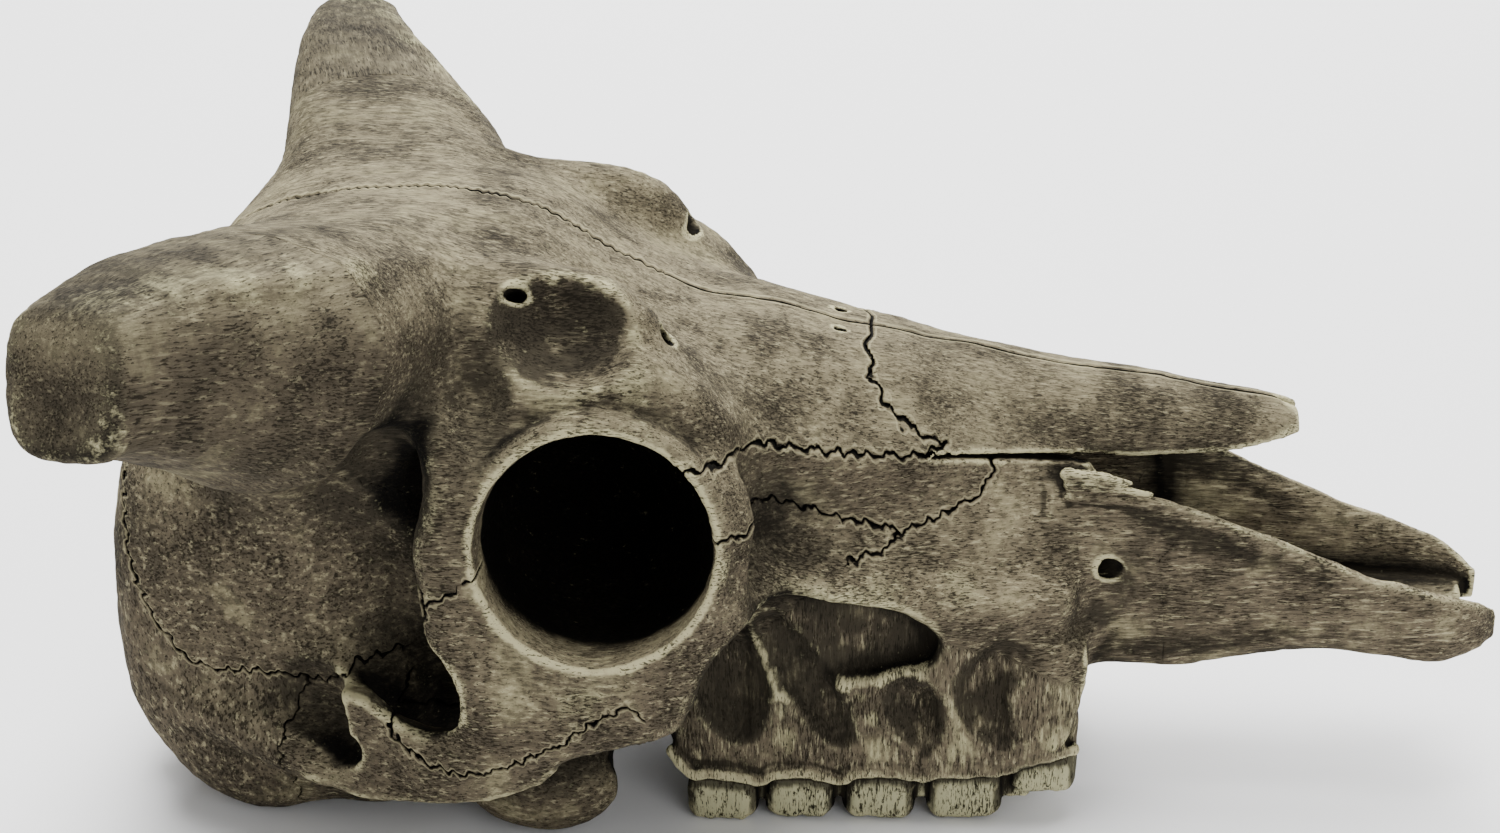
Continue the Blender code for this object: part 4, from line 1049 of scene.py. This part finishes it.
def bone_paint(bone):
    """A bone's whole paint: the bare paint with painted light from above, the teeth, stained patches with
    painted shade and painted highlights, painted shade in hollows and creases, rubbed edges and sutures.
    """
    material = bpy.data.materials.new("paint_" + bone)
    material.use_nodes = True
    tree = material.node_tree
    tree.nodes.clear()
    where = add_node(tree, "TexCoord").outputs["Object"]
    nodes = {n: add_node(tree, "Attribute", {"attribute_name": n}) for n in LAYERS}
    told = {n: node.outputs["Fac"] for n, node in nodes.items()}
    threads = nodes["fibres"].outputs["Vector"]
    blotch = noise(tree, where, (22, 22, 22), 5.0, 0.62)
    fleck = noise(tree, where, (5, 5, 5), 5.0, 0.68)
    fibre = noise(tree, threads, (0.7, 0.7, 0.7), 5.0, 0.66)
    thread = noise(tree, threads, (0.3, 0.3, 0.3), 3.0, 0.6)
    speck = noise(tree, where, (2.2, 2.2, 4.5), 4.0, 0.7)
    uneven = calc(tree, "SUBTRACT", calc(tree, "ADD", fleck, fibre), 1.0)
    base = bare_paint(tree, bone, told["upward"], blotch, fleck, fibre)
    crown = blend(tree, ramp(tree, speck, 0.55, 0.64), TOOTH_CREAM, TOOTH_SPECK)
    base = blend(tree, calc(tree, "MULTIPLY", told["crown"], 0.9), base, crown)
    stain_and_painted_light = plus_share(tree, told["stain_and_painted_light"], uneven, 0.8)
    shade_and_wash = plus_share(tree, told["hidden"], uneven, 0.3)
    worn = plus_share(tree, thread, calc(tree, "SUBTRACT", blotch, 0.5), 0.5)
    base = coats(tree, base, [
        # Stained patches, with painted shade in the cut hollows, under the collar and between the teeth, and
        # painted highlights on the horns' top edges and the crests.
        (stain_and_painted_light, 0.10, 0.8, 0.85, colour(43, 39, 32)),
        (stain_and_painted_light, -0.15, -0.75, 0.75, colour(176, 171, 132)),
        # Painted shade in the hollows, with the replica's own dark paint, near black deep inside and in the
        # eye sockets.
        (shade_and_wash, 0.10, 0.42, 0.78, colour(52, 48, 39)),
        (shade_and_wash, 0.30, 0.60, 0.98, colour(10, 9, 8)),
        # Painted shade in the creases where the surface bends inwards.
        (plus_share(tree, told["dip"], uneven, 0.5), 0.08, 0.6, 0.85, colour(31, 28, 22)),
        (plus_share(tree, told["edge"], uneven, 1.6), 0.25, 0.95, 0.7, colour(200, 193, 152)),
        (worn, 0.54, 0.61, 0.85, colour(29, 26, 20)),
    ])
    lips = calc(tree, "ABSOLUTE", calc(tree, "SUBTRACT", told["crack"], 1.15))
    lit = calc(tree, "MULTIPLY", ramp(tree, lips, 0.5, 0.1, 0.35), ramp(tree, told["hidden"], 0.3, 0.1))
    base = blend(tree, lit, base, colour(180, 172, 136))
    base = coats(tree, base, [(told["crack"], 0.55, 0.32, 0.97, SUTURE_DARK)])
    finish(tree, base, plus_share(tree, calc(tree, "MULTIPLY", fibre, 0.8), thread, 0.5))
    return material


# Pieces. Every bone is its own object on each side, mirrored but not alike in its finest relief. The back of
# the skull is one bone across the middle. Each stands for its bone's solid, and five for the braincase's.
SHIFT = np.array([-16.92, 0.0, -0.8])
MARGIN = 0.05
paints = {bone: bone_paint(bone) for bone in BONES}


def mesh_of(name, points, quads, triangles, layers):
    """A smooth mesh from arrays, in metres, in the solids' frame, with one attribute for each layer."""
    mesh = bpy.data.meshes.new(name)
    mesh.vertices.add(len(points))
    mesh.vertices.foreach_set("co", points.astype(np.float32).ravel())
    mesh.loops.add(quads.size + triangles.size)
    corners = np.concatenate([quads.ravel(), triangles.ravel()])
    mesh.loops.foreach_set("vertex_index", corners.astype(np.int32))
    mesh.polygons.add(len(quads) + len(triangles))
    starts = np.concatenate([np.arange(len(quads)) * 4, quads.size + np.arange(len(triangles)) * 3])
    mesh.polygons.foreach_set("loop_start", starts.astype(np.int32))
    mesh.update(calc_edges=True)
    mesh.validate()
    for layer, values in zip(LAYERS, layers):
        kind, socket = ("FLOAT", "value") if values.ndim == 1 else ("FLOAT_VECTOR", "vector")
        attribute = mesh.attributes.new(layer, kind, "POINT")
        attribute.data.foreach_set(socket, values.astype(np.float32).ravel())
    mesh.polygons.foreach_set("use_smooth", np.ones(len(mesh.polygons), bool))
    return mesh


def open_points(quads, triangles):
    """The points on edges that only one face has: where a bone crosses the middle plane."""
    edges = np.vstack([np.stack([f.ravel(), np.roll(f, -1, axis=1).ravel()], 1) for f in (quads, triangles)])
    found, count = np.unique(np.sort(edges, axis=1), axis=0, return_counts=True)
    return np.unique(found[count == 1])


def sewn(points, quads, triangles, layers):
    """One half of a bone across the middle and its mirror image, sewn together along the middle plane."""
    seam = open_points(quads, triangles)
    rest = np.setdiff1d(np.arange(len(points)), seam)
    twin = np.arange(len(points))
    twin[rest] = len(points) + np.arange(len(rest))
    points[seam, 1] = 0
    points = np.vstack([points, points[rest] * [1, -1, 1]])
    quads, triangles = (np.vstack([faces, twin[faces][:, ::-1]]) for faces in (quads, triangles))
    return points, quads, triangles, [np.concatenate([values, values[rest]]) for values in layers]


def make_piece(bone, name, points, quads, triangles, layers):
    """A visible piece, kept inside the solids' box, with its paint and the solid that it stands for."""
    low, high = (np.array(corner) * 1000 - SHIFT for corner in cad_box)
    points = (np.clip(points, low + MARGIN, high - MARGIN) + SHIFT) / 1000
    obj = bpy.data.objects.new("bone_" + name, mesh_of(name, points, quads, triangles, layers))
    bpy.context.scene.collection.objects.link(obj)
    obj.data.materials.append(paints[bone])
    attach(obj, "root")
    node = "braincase" if bone in BRAINCASE else name
    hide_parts(node)


for bone in BONES:
    points, quads, triangles = bone_surface(bone)
    if bone == "back_of_skull":
        moved, layers = painted(bone, points, SIDES["right"])
        make_piece(bone, bone, *sewn(moved, quads, triangles, layers))
        continue
    for side, sign in SIDES.items():
        moved, layers = painted(bone, points, sign)
        mirrored = moved * [1, sign, 1]
        make_piece(bone, f"{bone}_{side}", mirrored, quads[:, ::sign], triangles[:, ::sign], layers)


# Studio. A pale matt floor, a broad soft light above and a weaker one from the front, light on the floor
# behind, and the photo's camera.
FLOOR_GREY, FLOOR_ROUGHNESS, SKY = 0.92, 0.9, 0.45
bpy.ops.mesh.primitive_plane_add(size=8, location=(0, 0, 0))
floor = bpy.context.object
floor.name = "floor"
plain = bpy.data.materials.new("floor_paint")
plain.use_nodes = True
plain_shader = plain.node_tree.nodes["Principled BSDF"]
plain_shader.inputs["Base Color"].default_value = (FLOOR_GREY, FLOOR_GREY, FLOOR_GREY, 1)
plain_shader.inputs["Roughness"].default_value = FLOOR_ROUGHNESS
floor.data.materials.append(plain)
floor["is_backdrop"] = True


def lamp(name, place, target, size, power):
    """A square area light at a place, facing a target, with its size in metres and its power in watts."""
    light = bpy.data.lights.new(name, "AREA")
    light.shape, light.size, light.energy = "SQUARE", size, power
    obj = bpy.data.objects.new(name, light)
    obj.location = place
    obj.rotation_euler = (Vector(target) - Vector(place)).to_track_quat("-Z", "Y").to_euler()
    bpy.context.scene.collection.objects.link(obj)


lamp("top_light", place=(-0.1, 0.15, 1.7), target=(0, 0, 0.1), size=1.2, power=58)
lamp("back_light", place=(0.0, 4.2, 2.4), target=(0, 4.2, 0), size=4.0, power=700)
lamp("front_light", place=(0.9, -1.6, 0.9), target=(0, 0, 0.1), size=1.0, power=11)
world = bpy.data.worlds.new("studio")
world.use_nodes = True
world.node_tree.nodes["Background"].inputs["Color"].default_value = (1, 1, 1, 1)
world.node_tree.nodes["Background"].inputs["Strength"].default_value = SKY
bpy.context.scene.world = world

AZIMUTH, ELEVATION = math.radians(3), math.radians(22.5)
LENS, DISTANCE = 57.6, 0.725
TARGET = np.array([SHIFT[0] / 1000, 0, 0.115 + SHIFT[2] / 1000])
level = math.cos(ELEVATION)
back = np.array([math.sin(AZIMUTH) * level, -math.cos(AZIMUTH) * level, math.sin(ELEVATION)])
camera = bpy.data.objects.new("camera", bpy.data.cameras.new("camera"))
camera.data.lens = LENS
camera.data.sensor_width = 36
camera.location = TARGET + back * DISTANCE
camera.rotation_euler = Vector(back).to_track_quat("Z", "Y").to_euler()
bpy.context.scene.collection.objects.link(camera)
bpy.context.scene.camera = camera

low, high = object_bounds()
